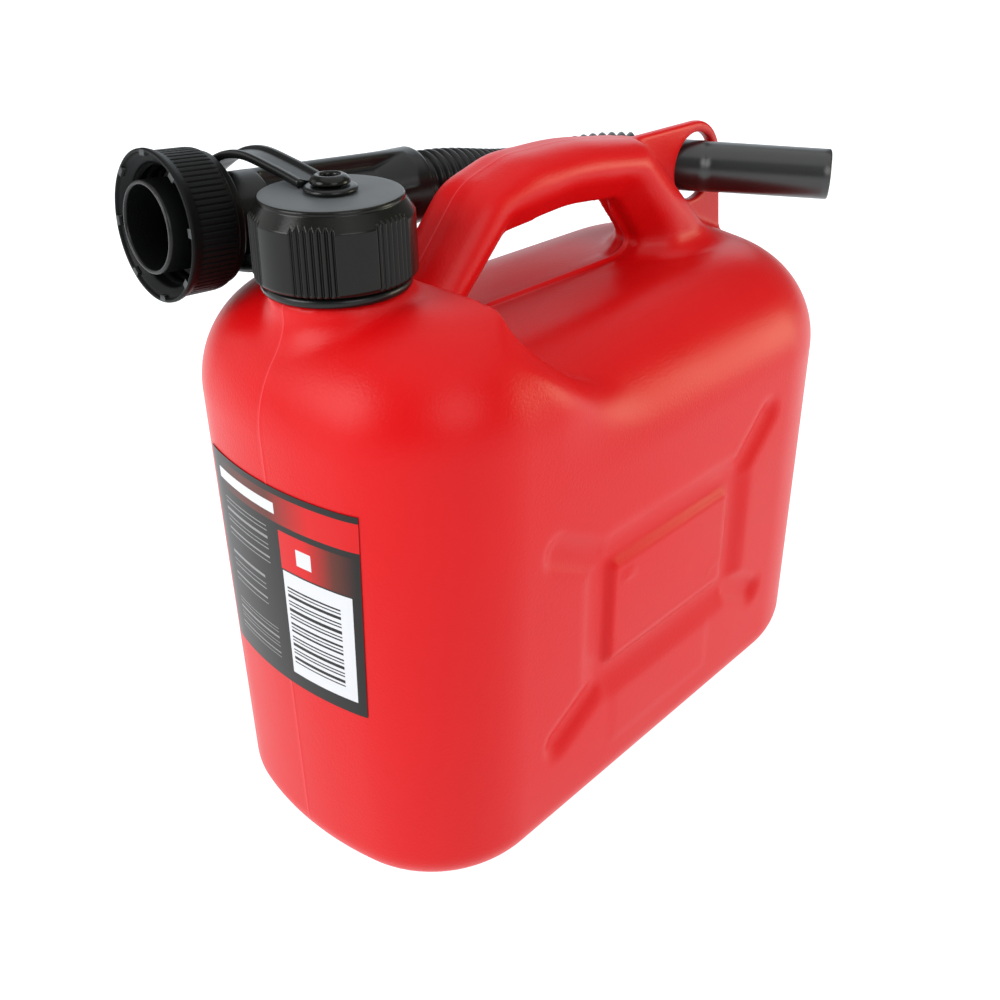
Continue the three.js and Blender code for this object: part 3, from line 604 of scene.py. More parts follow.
def field_slope(field, points, step=0.05):
    """Value and slope of the field at each point, from small steps along the three axes."""
    value = field(*points.T)
    slope = np.empty_like(points)
    for axis in range(3):
        shift = np.zeros(3)
        shift[axis] = step
        slope[:, axis] = (field(*(points + shift).T) - field(*(points - shift).T)) / (2 * step)
    return value, slope


# %% Boxes and edges that the surface crosses
def crossed_cells(values, lines):
    """One point for every box with corners on both sides of the surface: the mean of its edge crossings."""
    inside = values < 0
    cells = tuple(size - 1 for size in values.shape)
    total = np.zeros((*cells, 3))
    number = np.zeros(cells)
    spots = np.meshgrid(*lines, indexing="ij")
    for axis in range(3):
        first = [slice(None)] * 3
        second = [slice(None)] * 3
        first[axis] = slice(0, -1)
        second[axis] = slice(1, None)
        first, second = tuple(first), tuple(second)
        cut = inside[first] != inside[second]
        gap = np.where(cut, values[first] - values[second], 1.0)
        part = np.where(cut, values[first] / gap, 0.0)
        crossing = [np.where(cut, spot[first] + part * (spot[second] - spot[first]), 0.0) for spot in spots]
        others = [other for other in range(3) if other != axis]
        for a in (0, 1):
            for b in (0, 1):
                pick = [slice(None)] * 3
                pick[others[0]] = slice(a, cells[others[0]] + a)
                pick[others[1]] = slice(b, cells[others[1]] + b)
                pick = tuple(pick)
                number += cut[pick]
                total += np.stack([one[pick] for one in crossing], axis=-1)
    active = number > 0
    order = np.full(cells, -1)
    order[active] = np.arange(active.sum())
    return total[active] / number[active][:, None], order, inside


def crossed_quads(order, inside):
    """A quad for every crossed grid edge, joining the four boxes round it, facing out of the inside."""
    quads = []
    for axis in range(3):
        b, c = [(axis + 1) % 3, (axis + 2) % 3]
        first = np.moveaxis(inside, (axis, b, c), (0, 1, 2))
        boxes = np.moveaxis(order, (axis, b, c), (0, 1, 2))
        here = first[:-1, 1:-1, 1:-1]
        there = first[1:, 1:-1, 1:-1]
        i, j, k = np.nonzero(here != there)
        ring = np.stack([boxes[i, j + a, k + b] for a, b in ((0, 0), (1, 0), (1, 1), (0, 1))], axis=1)
        quads.append(np.where(here[i, j, k][:, None], ring, ring[:, ::-1]))
    return np.vstack(quads)


# %% Settling on the surface
EVEN_SHARE = 0.45
LEAST_SLOPE = 0.05
LONGEST_SLIDE = 1.5


def settle(field, points, quads, rounds):
    """Even out the quads, except in the last two rounds, and slide every point along the slope onto the
    surface in each round."""
    edges = np.vstack([np.stack([quads[:, a], quads[:, (a + 1) % 4]], axis=1) for a in range(4)])
    starts, ends = edges.T
    degree = np.bincount(starts, minlength=len(points))[:, None]
    for turn in range(rounds):
        if turn < rounds - 2:
            total = [np.bincount(starts, points[ends, axis], len(points)) for axis in range(3)]
            points = points + EVEN_SHARE * (np.stack(total, 1) / degree - points)
        value, slope = field_slope(field, points)
        step = value[:, None] * slope / np.maximum((slope ** 2).sum(axis=1, keepdims=True), LEAST_SLOPE)
        points = points - np.clip(step, -LONGEST_SLIDE, LONGEST_SLIDE)
    return points


# %% The can's skin
GRID_STEP = 2.2
x_lines = graded(-142.0, 142.0, GRID_STEP, [(STEP_X, 9.0, 1.1), (109.0, 8.0, 0.8)])
y_lines = graded(-72.0, 72.0, GRID_STEP, [(0.0, 4.6, 0.5), (-13.0, 4.0, 1.2), (13.0, 4.0, 1.2)])
z_lines = graded(-4.0, 242.0, GRID_STEP, [(208.0, 30.0, 1.4)])
can_values = field_values(can_field, x_lines, y_lines, z_lines)
can_points, can_order, can_inside = crossed_cells(can_values, (x_lines, y_lines, z_lines))
can_quads = crossed_quads(can_order, can_inside)
can_points = settle(can_field, can_points, can_quads, rounds=5)
add_piece("can_skin", can_points, can_quads.tolist(), red_shell, "can", ["can_body"])

# %% [markdown]
# ## The label
#
# A printed film is stuck on the bulged front. It is a sheet of points pushed along x until each one stands
# a hair in front of the can and of its mould line. Its cut edge is marked sharp, so that the film stays flat
# up to its rim. Its print is plain blocks of colour, drawn by the material from the sheet's own UV map.

# %% Mask of one printed block
BLOCK_VALUES = ("Left", "Right", "Low", "High", "Count", "Share")
SWELL_PACE = 2.3
SWELL_SIZE = 0.22


def make_block_group():
    """A mask that is 1 inside a rectangle of the UV map. With a count above 0 the rectangle is ruled:
    it keeps only that many lines, whose widths swell and shrink from line to line."""
    numbers = [(name, "Float") for name in BLOCK_VALUES]
    group, entry, leave = new_group("printed_block", [("UV", "Vector"), *numbers], [("Mask", "Float")])
    split = group.nodes.new("ShaderNodeSeparateXYZ")
    group.links.new(entry.outputs["UV"], split.inputs[0])
    left, right, low, high, count, share = [entry.outputs[name] for name in BLOCK_VALUES]

    def work(operation, *values):
        node = group.nodes.new("ShaderNodeMath")
        node.operation = operation
        for socket, value in zip(node.inputs, values):
            if isinstance(value, float):
                socket.default_value = value
            else:
                group.links.new(value, socket)
        return node.outputs[0]

    def within(place, start, end):
        return work("MULTIPLY", work("GREATER_THAN", place, start), work("LESS_THAN", place, end))

    inside = work("MULTIPLY", within(split.outputs["X"], left, right), within(split.outputs["Y"], low, high))
    climb = work("DIVIDE", work("SUBTRACT", split.outputs["Y"], low), work("SUBTRACT", high, low))
    line = work("MULTIPLY", climb, count)
    swell = work("MULTIPLY", work("SINE", work("MULTIPLY", line, SWELL_PACE)), SWELL_SIZE)
    ruled = work("LESS_THAN", work("FRACT", work("ADD", line, swell)), share)
    group.links.new(work("MULTIPLY", inside, ruled), leave.inputs["Mask"])
    return group


# %% Printed film
PAPER = (0.62, 0.63, 0.65)
INK_BLACK = (0.013, 0.012, 0.011)
INK_BROWN = (0.10, 0.018, 0.010)
INK_RED = (0.56, 0.004, 0.005)
INK_GREY = (0.22, 0.22, 0.22)
PLAIN = (0.0, 1.0)
FILM_ROUGHNESS = 0.3
FILM_SPECULAR = 0.2


def printed_film(fades, blocks):
    """Glossy film: a dark field, fading bands, then plain or ruled blocks laid over one another."""
    material, tree, shader = new_finish("printed_film")
    shader.inputs["Roughness"].default_value = FILM_ROUGHNESS
    shader.inputs["Specular IOR Level"].default_value = FILM_SPECULAR
    place = tree.nodes.new("ShaderNodeUVMap")
    place.uv_map = "print"
    split = tree.nodes.new("ShaderNodeSeparateXYZ")
    tree.links.new(place.outputs["UV"], split.inputs[0])
    group = make_block_group()

    def lay(under, box, rules, colour):
        block = tree.nodes.new("ShaderNodeGroup")
        block.node_tree = group
        tree.links.new(place.outputs["UV"], block.inputs["UV"])
        for name, value in zip(BLOCK_VALUES, (*box, *rules)):
            block.inputs[name].default_value = value
        return mixed(tree, block.outputs["Mask"], under, colour)

    colour = INK_BLACK
    for box, stops in fades:
        ramp = tree.nodes.new("ShaderNodeValToRGB")
        tree.links.new(split.outputs["X"], ramp.inputs["Fac"])
        ends = ramp.color_ramp.elements
        ends[0].position, ends[1].position = stops[0][0], stops[-1][0]
        ends[0].color, ends[1].color = (*stops[0][1], 1.0), (*stops[-1][1], 1.0)
        for position, ink in stops[1:-1]:
            ends.new(position).color = (*ink, 1.0)
        colour = lay(colour, box, PLAIN, ramp.outputs["Color"])
    for box, rules, ink in blocks:
        colour = lay(colour, box, rules, ink)
    tree.links.new(colour, shader.inputs["Base Color"])
    return material


# %% Layout of the print
label_fades = [
    ((0.0, 1.0, 0.833, 0.97), [(0.08, INK_BLACK), (0.28, INK_BROWN), (0.48, INK_BROWN), (0.74, INK_RED)]),
    ((0.545, 1.0, 0.615, 0.803), [(0.56, INK_RED), (0.70, INK_RED), (0.86, INK_BROWN), (0.98, INK_BLACK)]),
]
label_blocks = [
    ((0.07, 0.53, 0.872, 0.925), PLAIN, PAPER),
    ((0.65, 0.74, 0.665, 0.745), PLAIN, PAPER),
    ((0.55, 0.955, 0.068, 0.607), PLAIN, PAPER),
    ((0.57, 0.89, 0.13, 0.55), (18.0, 0.42), INK_BLACK),
    ((0.10, 0.46, 0.60, 0.79), (6.0, 0.22), INK_GREY),
    ((0.10, 0.40, 0.36, 0.54), (5.0, 0.20), INK_GREY),
    ((0.10, 0.46, 0.10, 0.26), (6.0, 0.20), INK_GREY),
]
film_print = printed_film(label_fades, label_blocks)
print("print blocks:", len(label_fades) + len(label_blocks))

# %% Label sheet
LABEL_HALF = 36.0
LABEL_LOW = 75.0
LABEL_HIGH = 152.0
LABEL_SLANT = 1.5
LABEL_START_X = -131.0
FILM_GAP = 0.18
FILM_THICKNESS = 0.15
SLOPE_STEP = 0.1
SLOPE_LIMIT = -0.2


def label_sheet(columns, rows):
    """A rectangle of y and z whose near edge leans a little. Its x is found, in a few steps along the
    field's slope, where the can's field equals the gap."""
    u, v = np.meshgrid(np.linspace(0, 1, columns), np.linspace(0, 1, rows), indexing="ij")
    y = LABEL_HALF * (1 - 2 * u) - LABEL_SLANT * u * (2 * v - 1)
    z = LABEL_LOW + (LABEL_HIGH - LABEL_LOW) * v
    x = np.full_like(y, LABEL_START_X)
    for _ in range(8):
        value = can_form(x, y, z) - FILM_GAP
        slope = (can_form(x + SLOPE_STEP, y, z) - can_form(x - SLOPE_STEP, y, z)) / (2 * SLOPE_STEP)
        x = x - value / np.minimum(slope, SLOPE_LIMIT)
    row, column = np.meshgrid(np.arange(columns - 1), np.arange(rows - 1), indexing="ij")
    first = row * rows + column
    quads = np.stack([first, first + rows, first + rows + 1, first + 1], axis=-1).reshape(-1, 4)
    points = np.stack([x, y, z], axis=-1).reshape(-1, 3)
    return points, quads, np.stack([u.ravel(), v.ravel()], axis=1)


label_points, label_quads, label_uv = label_sheet(columns=90, rows=60)
label = add_piece("label_film", label_points, label_quads.tolist(), film_print,
                  "can", ["front_label"])
uv_layer = label.data.uv_layers.new(name="print")
uv_layer.data.foreach_set("uv", label_uv[label_quads.ravel()].ravel())
label_edges = np.empty(2 * len(label.data.edges), dtype=np.int32)
label.data.edges.foreach_get("vertices", label_edges)
edge_uv = label_uv[label_edges.reshape(-1, 2)]
on_rim = (np.isin(edge_uv, (0.0, 1.0)) & (edge_uv == edge_uv[:, ::-1])).all(axis=1).any(axis=1)
label.data.attributes.new("sharp_edge", "BOOLEAN", "EDGE").data.foreach_set("value", on_rim)
print("rim edges:", int(on_rim.sum()))
film = label.modifiers.new("film", "SOLIDIFY")
film.thickness = FILM_THICKNESS * MM
film.offset = 1.0

# %% [markdown]
# ## The neck and the cap
#
# Both are turned forms: a profile carried round the neck's axis. The thread is a ridge whose height at
# any point depends on how far that point is from a line that climbs one pitch in each turn.

# %% Turned forms and threads
PITCH = 4.0
THREAD_TURNS = 1.5
THREAD_START = 220.0
THREAD_HEIGHT = 1.3
THREAD_WIDTH = 1.8
THREAD_FLANK = (0.12 * THREAD_WIDTH, 0.5 * THREAD_WIDTH)
THREAD_FADE = (0.02, 0.08)


def thread_ridge(angle, height, start, turns):
    """1 on the thread's crest, 0 between crests; the ends of the thread fade out."""
    climb = (height - start) / PITCH - angle / (2 * np.pi)
    whole = np.round(climb)
    gap = np.abs(climb - whole) * PITCH
    turn = whole + angle / (2 * np.pi)
    outer, inner = THREAD_FADE
    ends = soft_step(turn, -outer, inner) * (1 - soft_step(turn, turns - inner, turns + outer))
    return ends * (1 - soft_step(gap, *THREAD_FLANK))


def smooth_profile(points, step):
    """Points along a broken line, no further apart than the step, keeping its corners."""
    points = np.array(points, dtype=float)
    counts = np.maximum(np.ceil(np.linalg.norm(np.diff(points, axis=0), axis=1) / step).astype(int), 1)
    pieces = [np.linspace(a, b, n, endpoint=False) for a, b, n in zip(points[:-1], points[1:], counts)]
    return np.vstack(pieces + [points[-1:]])


def closed_profile(points, step):
    """Points along a broken line that ends where it starts; the last one is left out."""
    return smooth_profile([*points, points[0]], step)[:-1]


def angles_round(columns):
    """Even angles once round, as one row."""
    return np.linspace(0, 2 * np.pi, columns, endpoint=False)[None, :]


def turn_about_neck(radius, height, angle):
    """Points of a turned form: radius and height have one row per profile point, one column per angle."""
    return np.stack([NECK_X + radius * np.cos(angle), radius * np.sin(angle), height], axis=-1)


def turned(outline, columns):
    """An outline of radius and height carried once round the neck's axis."""
    spread = np.ones((1, columns))
    return turn_about_neck(outline[:, :1] * spread, outline[:, 1:] * spread, angles_round(columns))


# %% Neck with its thread
NECK_RADIUS = 18.2
NECK_BORE = 15.6
NECK_TOP = 232.2
NECK_LOW = 204.0
NECK_COLUMNS = 160
neck_outline = smooth_profile(
    [(NECK_RADIUS, NECK_LOW), (NECK_RADIUS, NECK_TOP - 0.6), (NECK_RADIUS - 0.6, NECK_TOP),
     (NECK_BORE + 0.4, NECK_TOP), (NECK_BORE, NECK_TOP - 0.4), (NECK_BORE, NECK_LOW)], 0.4)
neck_angle = angles_round(NECK_COLUMNS)
neck_height = np.repeat(neck_outline[:, 1:], NECK_COLUMNS, axis=1)
neck_crest = thread_ridge(neck_angle, neck_height, THREAD_START, THREAD_TURNS)
neck_radius = neck_outline[:, :1] + THREAD_HEIGHT * neck_crest * (neck_outline[:, :1] > NECK_RADIUS - 0.05)
neck_grid = turn_about_neck(neck_radius, neck_height, neck_angle)
add_tube("neck", neck_grid, red_shell, "can", [])

# %% [markdown]
# The cap's skirt has six smooth panels and six groups of upright flutes. A cone cuts the top edge of both,
# and because the flutes lie a little deeper than the panels, the cone meets them higher up.

# %% Cap's skirt
CAP_FOOT = 212.7
CAP_MIDDLE = 225.0
CAP_RIM = 236.4
CAP_TOP = 238.0
CAP_PANEL = 25.3
CAP_TAPER = 0.012
CAP_FLUTE_CREST = 24.9
CAP_FLUTE_DEPTH = 1.0
CAP_FLUTE_ANGLE = math.radians(5.0)
CAP_GROUP_HALF = 3 * CAP_FLUTE_ANGLE
CAP_GROUP_PHASE = math.radians(36.5)
CAP_GROUP_FADE = 0.008
RIM_RADIUS = 22.3
RIM_SLOPE = 0.65
FOOT_RADIUS = 24.6
FOOT_SLOPE = 0.8


def cap_outline(angle):
    """Skirt radius at each angle: panels, and between them groups of six round-crested flutes."""
    sector = math.pi / 3
    local = (angle - CAP_GROUP_PHASE + sector / 2) % sector - sector / 2
    wave = np.abs(np.cos(np.pi * local / CAP_FLUTE_ANGLE))
    flutes = CAP_FLUTE_CREST - CAP_FLUTE_DEPTH * (1 - np.sqrt(1 - wave ** 2 + 1e-9))
    in_group = 1 - soft_step(np.abs(local), CAP_GROUP_HALF - CAP_GROUP_FADE, CAP_GROUP_HALF + CAP_GROUP_FADE)
    return CAP_PANEL + (flutes - CAP_PANEL) * in_group


def cap_skirt(angle, height):
    """The skirt's outline, a little narrower towards the top, cut by a cone under the disc and another
    at the foot."""
    top_cone = RIM_RADIUS + (CAP_RIM - height) * RIM_SLOPE
    foot_cone = FOOT_RADIUS + (height - CAP_FOOT) * FOOT_SLOPE
    taper = CAP_TAPER * (CAP_MIDDLE - height)
    return np.minimum(np.minimum(cap_outline(angle) + taper, top_cone), foot_cone)


# %% [markdown]
# One grid gives the whole cap: it starts in the knob's pit, goes over the knob and the disc, down the skirt,
# and up inside to the ceiling. The disc and the pit have finishes of their own, given face by face.

# %% Cap
CAP_COLUMNS = 720
CAP_HOLLOW = 19.85
CAP_CEILING = 234.8
KNOB_STEM = 3.3
PIT_RADIUS = 3.0
DISC_REACH = (3.6, 22.0)
DISC_RISE = 0.35
knob_outline = smooth_profile(
    [(0.3, 238.6), (2.4, 238.6), (2.7, 239.0), (2.9, 242.6), (3.2, 243.2), (3.7, 243.45), (4.4, 243.3),
     (5.3, 242.8), (5.9, 242.1), (6.2, 241.4), (6.1, 240.9), (5.6, 240.7), (3.5, 240.75),
     (KNOB_STEM, 240.6), (KNOB_STEM, 238.3), (3.7, 238.05)], 0.9)
disc_outline = smooth_profile(
    [(3.7, 238.05), (4.6, CAP_TOP), (21.2, CAP_TOP), (21.8, 237.85), (22.2, 237.4), (22.3, 236.9),
     (22.25, 236.6)], 2.0)[1:]
skirt_height = np.concatenate(
    [np.linspace(CAP_RIM, 231.0, 22), np.linspace(230.0, 217.0, 8), np.linspace(216, CAP_FOOT, 7)])
inner_outline = smooth_profile(
    [(22.4, CAP_FOOT), (CAP_HOLLOW + 0.5, CAP_FOOT), (CAP_HOLLOW, CAP_FOOT + 0.5),
     (CAP_HOLLOW, CAP_CEILING - 0.5), (CAP_HOLLOW - 0.5, CAP_CEILING), (0.3, CAP_CEILING)], 0.8)


def cap_grid():
    """Rows from the knob's pit over the disc and down the skirt, then up inside to the ceiling."""
    angle = angles_round(CAP_COLUMNS)
    spread = np.ones((1, CAP_COLUMNS))
    upper = np.vstack([knob_outline, disc_outline])
    skirt = np.repeat(skirt_height[:, None], CAP_COLUMNS, axis=1)
    inner_height = inner_outline[:, 1:] * spread
    crest = thread_ridge(angle, inner_height, THREAD_START - PITCH / 2, THREAD_TURNS)
    wall = np.abs(inner_outline[:, :1] - CAP_HOLLOW) < 0.01
    inside = inner_outline[:, :1] - THREAD_HEIGHT * crest * wall
    radius = np.vstack([upper[:, :1] * spread, cap_skirt(angle, skirt), inside])
    height = np.vstack([upper[:, 1:] * spread, skirt, inner_height])
    return turn_about_neck(radius, height, angle)[::-1]


cap = add_tube("cap", cap_grid(), black_cap, "cap", ["cap_shell"], close_rows=False)
cap.data.materials.append(grey_disc)
cap.data.materials.append(black_dull)
cap_middle = np.empty(3 * len(cap.data.polygons))
cap.data.polygons.foreach_get("center", cap_middle)
cap_middle = cap_middle.reshape(-1, 3) / MM
cap_reach = np.hypot(cap_middle[:, 0] - NECK_X, cap_middle[:, 1])
on_disc = (cap_reach > DISC_REACH[0]) & (cap_reach < DISC_REACH[1])
on_disc &= np.abs(cap_middle[:, 2] - CAP_TOP) < DISC_RISE
in_pit = (cap_reach < PIT_RADIUS) & (cap_middle[:, 2] > CAP_TOP)
cap.data.polygons.foreach_set("material_index", (on_disc + 2 * in_pit).astype(np.int32))
print("disc faces:", int(on_disc.sum()), "pit faces:", int(in_pit.sum()))

# %% [markdown]
# Inside the cap lies a soft disc that seals against the neck's rim. Only a lifted cap lets it be seen, so a
# plain turned outline is enough.

# %% Cap liner
liner_outline = smooth_profile(
    [(0.3, 232.5), (17.6, 232.5), (18.0, 232.9), (18.0, 234.1), (17.6, 234.5), (0.3, 234.5)], 2.0)
add_tube("cap_seal", turned(liner_outline, 72), seal_rubber, "cap", ["cap_liner"], close_rows=False)

# %% [markdown]
# ## The tether
#
# A ring sits loose on the neck. From it a strap with two raised edges goes under the spout, up behind the
# nut, over the top and back to the cap's knob. The strap is a section carried along a path. It
# joins two bodies. Where it passes the spout depends on the
# spout's own route, so that is worked out first: straight, one arc, and straight again through the lug.

# %% Spout route
SPOUT_START = np.array([-129.0, 54.9, 222.6])
BASE_SLOPE = -0.0567
BASE_HEADING = math.radians(-2.85)
NOZZLE_HEADING = math.radians(-58.0)
BASE_LENGTH = 106.5
SPIGOT_LENGTH = 8.0
NOZZLE_BEFORE_LUG = 20.0
BEND = 68.0
SAG = 4.4
BEND_TURN = BASE_HEADING - NOZZLE_HEADING
BEND_REACH = BEND * math.tan(BEND_TURN / 2)
BASE_WAY = np.array([math.cos(BASE_HEADING), math.sin(BASE_HEADING)])
NOZZLE_WAY = np.array([math.cos(NOZZLE_HEADING), math.sin(NOZZLE_HEADING)])
EYE_REACH = np.array([LUG_EYE[0], 0.0]) - SPOUT_START[:2]
TO_CORNER, FROM_CORNER = np.linalg.solve(np.stack([BASE_WAY, NOZZLE_WAY], axis=1), EYE_REACH)
BEND_START = TO_CORNER - BEND_REACH
BEND_END = BEND_START + BEND * BEND_TURN
LUG_DISTANCE = BEND_END + FROM_CORNER - BEND_REACH
FREE_START = BASE_LENGTH + SPIGOT_LENGTH
FREE_SPAN = LUG_DISTANCE - NOZZLE_BEFORE_LUG - SPIGOT_LENGTH - FREE_START


def levelled(distance):
    """Share of the free hose that lies behind a place, and the length gained there by levelling out."""
    share = np.clip((distance - FREE_START) / FREE_SPAN, 0, 1)
    return share, FREE_SPAN * share ** 2 / 2 + np.maximum(distance - FREE_START - FREE_SPAN, 0)


SLOPE_CHANGE = (LUG_EYE[1] - SPOUT_START[2] - BASE_SLOPE * LUG_DISTANCE) / levelled(LUG_DISTANCE)[1]
print("lug at", round(float(LUG_DISTANCE), 1), "mm along the spout")


def route(distance):
    """Place, heading and slope along the spout: a straight sloping base, one arc that sags a little and
    levels out, then straight on through the lug."""
    heading = BASE_HEADING - np.clip((distance - BEND_START) / BEND, 0, BEND_TURN)
    straight = np.minimum(distance, BEND_START)
    after = np.maximum(distance - BEND_END, 0)
    x = straight * BASE_WAY[0] + BEND * (BASE_WAY[1] - np.sin(heading)) + after * np.cos(heading)
    y = straight * BASE_WAY[1] + BEND * (np.cos(heading) - BASE_WAY[0]) + after * np.sin(heading)
    share, gained = levelled(distance)
    z = BASE_SLOPE * distance + SLOPE_CHANGE * gained - SAG * np.sin(np.pi * share) ** 2
    slope = BASE_SLOPE + SLOPE_CHANGE * share - SAG * np.pi / FREE_SPAN * np.sin(2 * np.pi * share)
    return SPOUT_START + np.stack([x, y, z], axis=-1), heading, slope


# %% [markdown]
# The strap's path is a smooth curve through a few spots in the plane across the neck. Its section is drawn
# for the right half and mirrored.

# %% Strap
STRAP_HALF = 5.5
STRAP_THICK = 1.3
STRAP_WEB = 0.3
TUBE_RADIUS = 14.0
STRAP_Y, STRAP_Z = route(NECK_X - SPOUT_START[0])[0][1:]
STRAP_LOW = STRAP_Z - TUBE_RADIUS - 1.9
STRAP_SPOTS = np.array([
    (21.9, 210.3), (29.4, 209.3), (STRAP_Y - 12, STRAP_LOW + 0.7), (STRAP_Y, STRAP_LOW),
    (STRAP_Y + 13, STRAP_LOW + 5), (STRAP_Y + 16.6, STRAP_Z), (STRAP_Y + 12, STRAP_Z + 11.2),
    (STRAP_Y + 4.5, STRAP_Z + 16.6), (STRAP_Y - 1.5, STRAP_Z + 19.7), (STRAP_Y - 8, STRAP_Z + 22),
    (STRAP_Y - 16.5, STRAP_Z + 23), (23.0, 242.2), (8.6, 239.6)])
strap_right = [
    (STRAP_HALF - 0.4, -STRAP_THICK), (STRAP_HALF, -STRAP_THICK + 0.4), (STRAP_HALF, STRAP_THICK - 0.5),
    (STRAP_HALF - 0.5, STRAP_THICK), (STRAP_HALF - 1.7, STRAP_THICK), (STRAP_HALF - 2.2, STRAP_THICK - 0.3),
    (STRAP_HALF - 2.5, STRAP_WEB)]
strap_left = [(-aside, lift) for aside, lift in reversed(strap_right)]
strap_section = closed_profile([strap_left[-1], *strap_right, *strap_left[:-1]], 1.2)


def between(t, low, high, first, last):
    """A value that runs in a straight line from the first at low to the last at high."""
    return (high - t) / (high - low) * first + (t - low) / (high - low) * last


def smooth_path(spots, count):
    """A curve through the spots whose bends are shared out evenly: straight lines between neighbours,
    blended pair by pair into arcs, and the arcs blended once more."""
    ends = np.vstack([2 * spots[0] - spots[1], spots, 2 * spots[-1] - spots[-2]])
    gap = np.sqrt(np.linalg.norm(np.diff(ends, axis=0), axis=1))
    knot = np.concatenate([[0], np.cumsum(gap)])
    t = np.linspace(knot[1], knot[-2], count)
    i = np.clip(np.searchsorted(knot, t, side="right") - 1, 1, len(spots) - 1)
    k = [knot[i + shift][:, None] for shift in (-1, 0, 1, 2)]
    p = [ends[i + shift] for shift in (-1, 0, 1, 2)]
    t = t[:, None]
    a = [between(t, k[n], k[n + 1], p[n], p[n + 1]) for n in range(3)]
    b = [between(t, k[n], k[n + 2], a[n], a[n + 1]) for n in range(2)]
    return between(t, k[1], k[2], b[0], b[1])


def strap_grid(rows):
    """The strap's section swept along its path; outward is to the right of the path's direction."""
    path = smooth_path(STRAP_SPOTS, rows)
    along = np.gradient(path, axis=0)
    along /= np.linalg.norm(along, axis=1, keepdims=True)
    outward = np.stack([along[:, 1], -along[:, 0]], axis=1)
    lift = strap_section[None, :, 1:] * outward[:, None, :]
    x = NECK_X + strap_section[None, :, 0] + np.zeros((rows, 1))
    flat = path[:, None, :] + lift
    return np.stack([x, flat[..., 0], flat[..., 1]], axis=-1)


strap = add_tube("strap", strap_grid(150)[::-1], black_satin, None, ["cap_tether"],
                 close_rows=False)
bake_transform(strap)

# %% Neck ring and eyelet
ring_outline = closed_profile(
    [(18.8, 209.2), (19.2, 208.8), (22.4, 208.8), (23.1, 209.1), (23.4, 209.8), (23.4, 210.8),
     (23.1, 211.5), (22.4, 211.8), (19.2, 211.8), (18.8, 211.4)], 0.8)
add_tube("neck_ring", turned(ring_outline, 160), black_satin, "can", [])
eyelet_outline = closed_profile(
    [(3.7, 238.6), (4.0, 238.3), (7.6, 238.3), (8.2, 238.6), (8.3, 239.1), (8.1, 239.7), (7.4, 240.1),
     (6.6, 240.2), (4.0, 240.3), (3.7, 240.0)], 0.8)
add_tube("eyelet", turned(eyelet_outline, 160), black_satin, "eyelet", ["tether_eyelet"])

# %% [markdown]
# ## The spout
#
# The spout lies beside the handle: a loose nut with a gripping surface, a base with four rails, a corrugated
# hose that bends towards the lug, and a plain nozzle pushed through the lug's eye. They are turned
# forms carried along one route, so the same few lines give all of them.


# %% Forms along the route
def around_route(distance, radius, angle):
    """Points at a radius round the route: one row per ring and one column per angle, measured in the
    plane across the route."""
    spot, heading, slope = route(distance)
    level = np.sqrt(1 + slope ** 2)
    across = np.stack([-np.sin(heading), np.cos(heading), np.zeros_like(heading)], axis=-1)
    up = np.stack([-slope * np.cos(heading), -slope * np.sin(heading), np.ones_like(heading)], axis=-1)
    reach = np.asarray(radius)[..., None]
    lift = (np.sin(angle) / level)[..., None] * up
    return spot + reach * (np.cos(angle)[..., None] * across + lift)


def spout_form(outline, columns, shape=None):
    """A turned form along the route, from an outline of distance and radius. A shape, if one is given,
    changes the radius with distance and angle."""
    angle = angles_round(columns)
    distance = outline[:, :1] + 0 * angle
    radius = outline[:, 1:] + 0 * angle
    if shape is not None:
        radius = shape(distance, radius, angle)
    return around_route(distance, radius, angle)


# %% [markdown]
# The nut's grip is a ring of fine grooves, and paler studs stand in its mouth. Both are changes of the radius
# with the angle, so the nut stays one grid.

# %% Collar nut
NUT_COLUMNS = 720
NUT_LENGTH = 21.4
NUT_BORE = 20.0
NUT_BACK = 17.8
NUT_HOLE = 14.4
NUT_THREAD_START = 4.5
NUT_THREAD_TURNS = 2.2
NUT_THREAD_HEIGHT = 1.2
NUT_WALL_START = 3.5
GRIP_INNER = 22.0
GRIP_START = (3.6, 4.4)
GRIP_END = (15.8, 16.8)
GRIP_GROOVES = 72
GRIP_DEPTH = 0.5
GRIP_SHARE = (0.55, 0.97)
STUDS = 8
STUD_PHASE = 0.9
STUD_SHARE = 0.87
STUD_RADIUS = 22.3
STUD_OUTER = 23.9
STUD_DEPTH = 1.3


def on_stud(angle):
    """True within the short studs that stand evenly round the mouth."""
    return np.cos(STUDS * angle + STUD_PHASE) > STUD_SHARE


def nut_shape(distance, radius, angle):
    """Fine grooves on the outside, a thread inside, and short studs round the mouth."""
    on_grip = soft_step(distance, *GRIP_START) * (1 - soft_step(distance, *GRIP_END))
    grooves = -GRIP_DEPTH * soft_step(np.cos(GRIP_GROOVES * angle), *GRIP_SHARE) * on_grip
    mouth = (distance < STUD_DEPTH) & (radius < STUD_OUTER) & on_stud(angle)
    crest = thread_ridge(angle, distance, NUT_THREAD_START, NUT_THREAD_TURNS)
    on_wall = (np.abs(radius - NUT_BORE) < 0.02) & (distance > NUT_WALL_START)
    shaped = radius + np.where(radius > GRIP_INNER, grooves, 0.0)
    shaped = shaped - np.where(on_wall, NUT_THREAD_HEIGHT * crest, 0.0)
    return np.where(mouth, np.minimum(shaped, STUD_RADIUS), shaped)


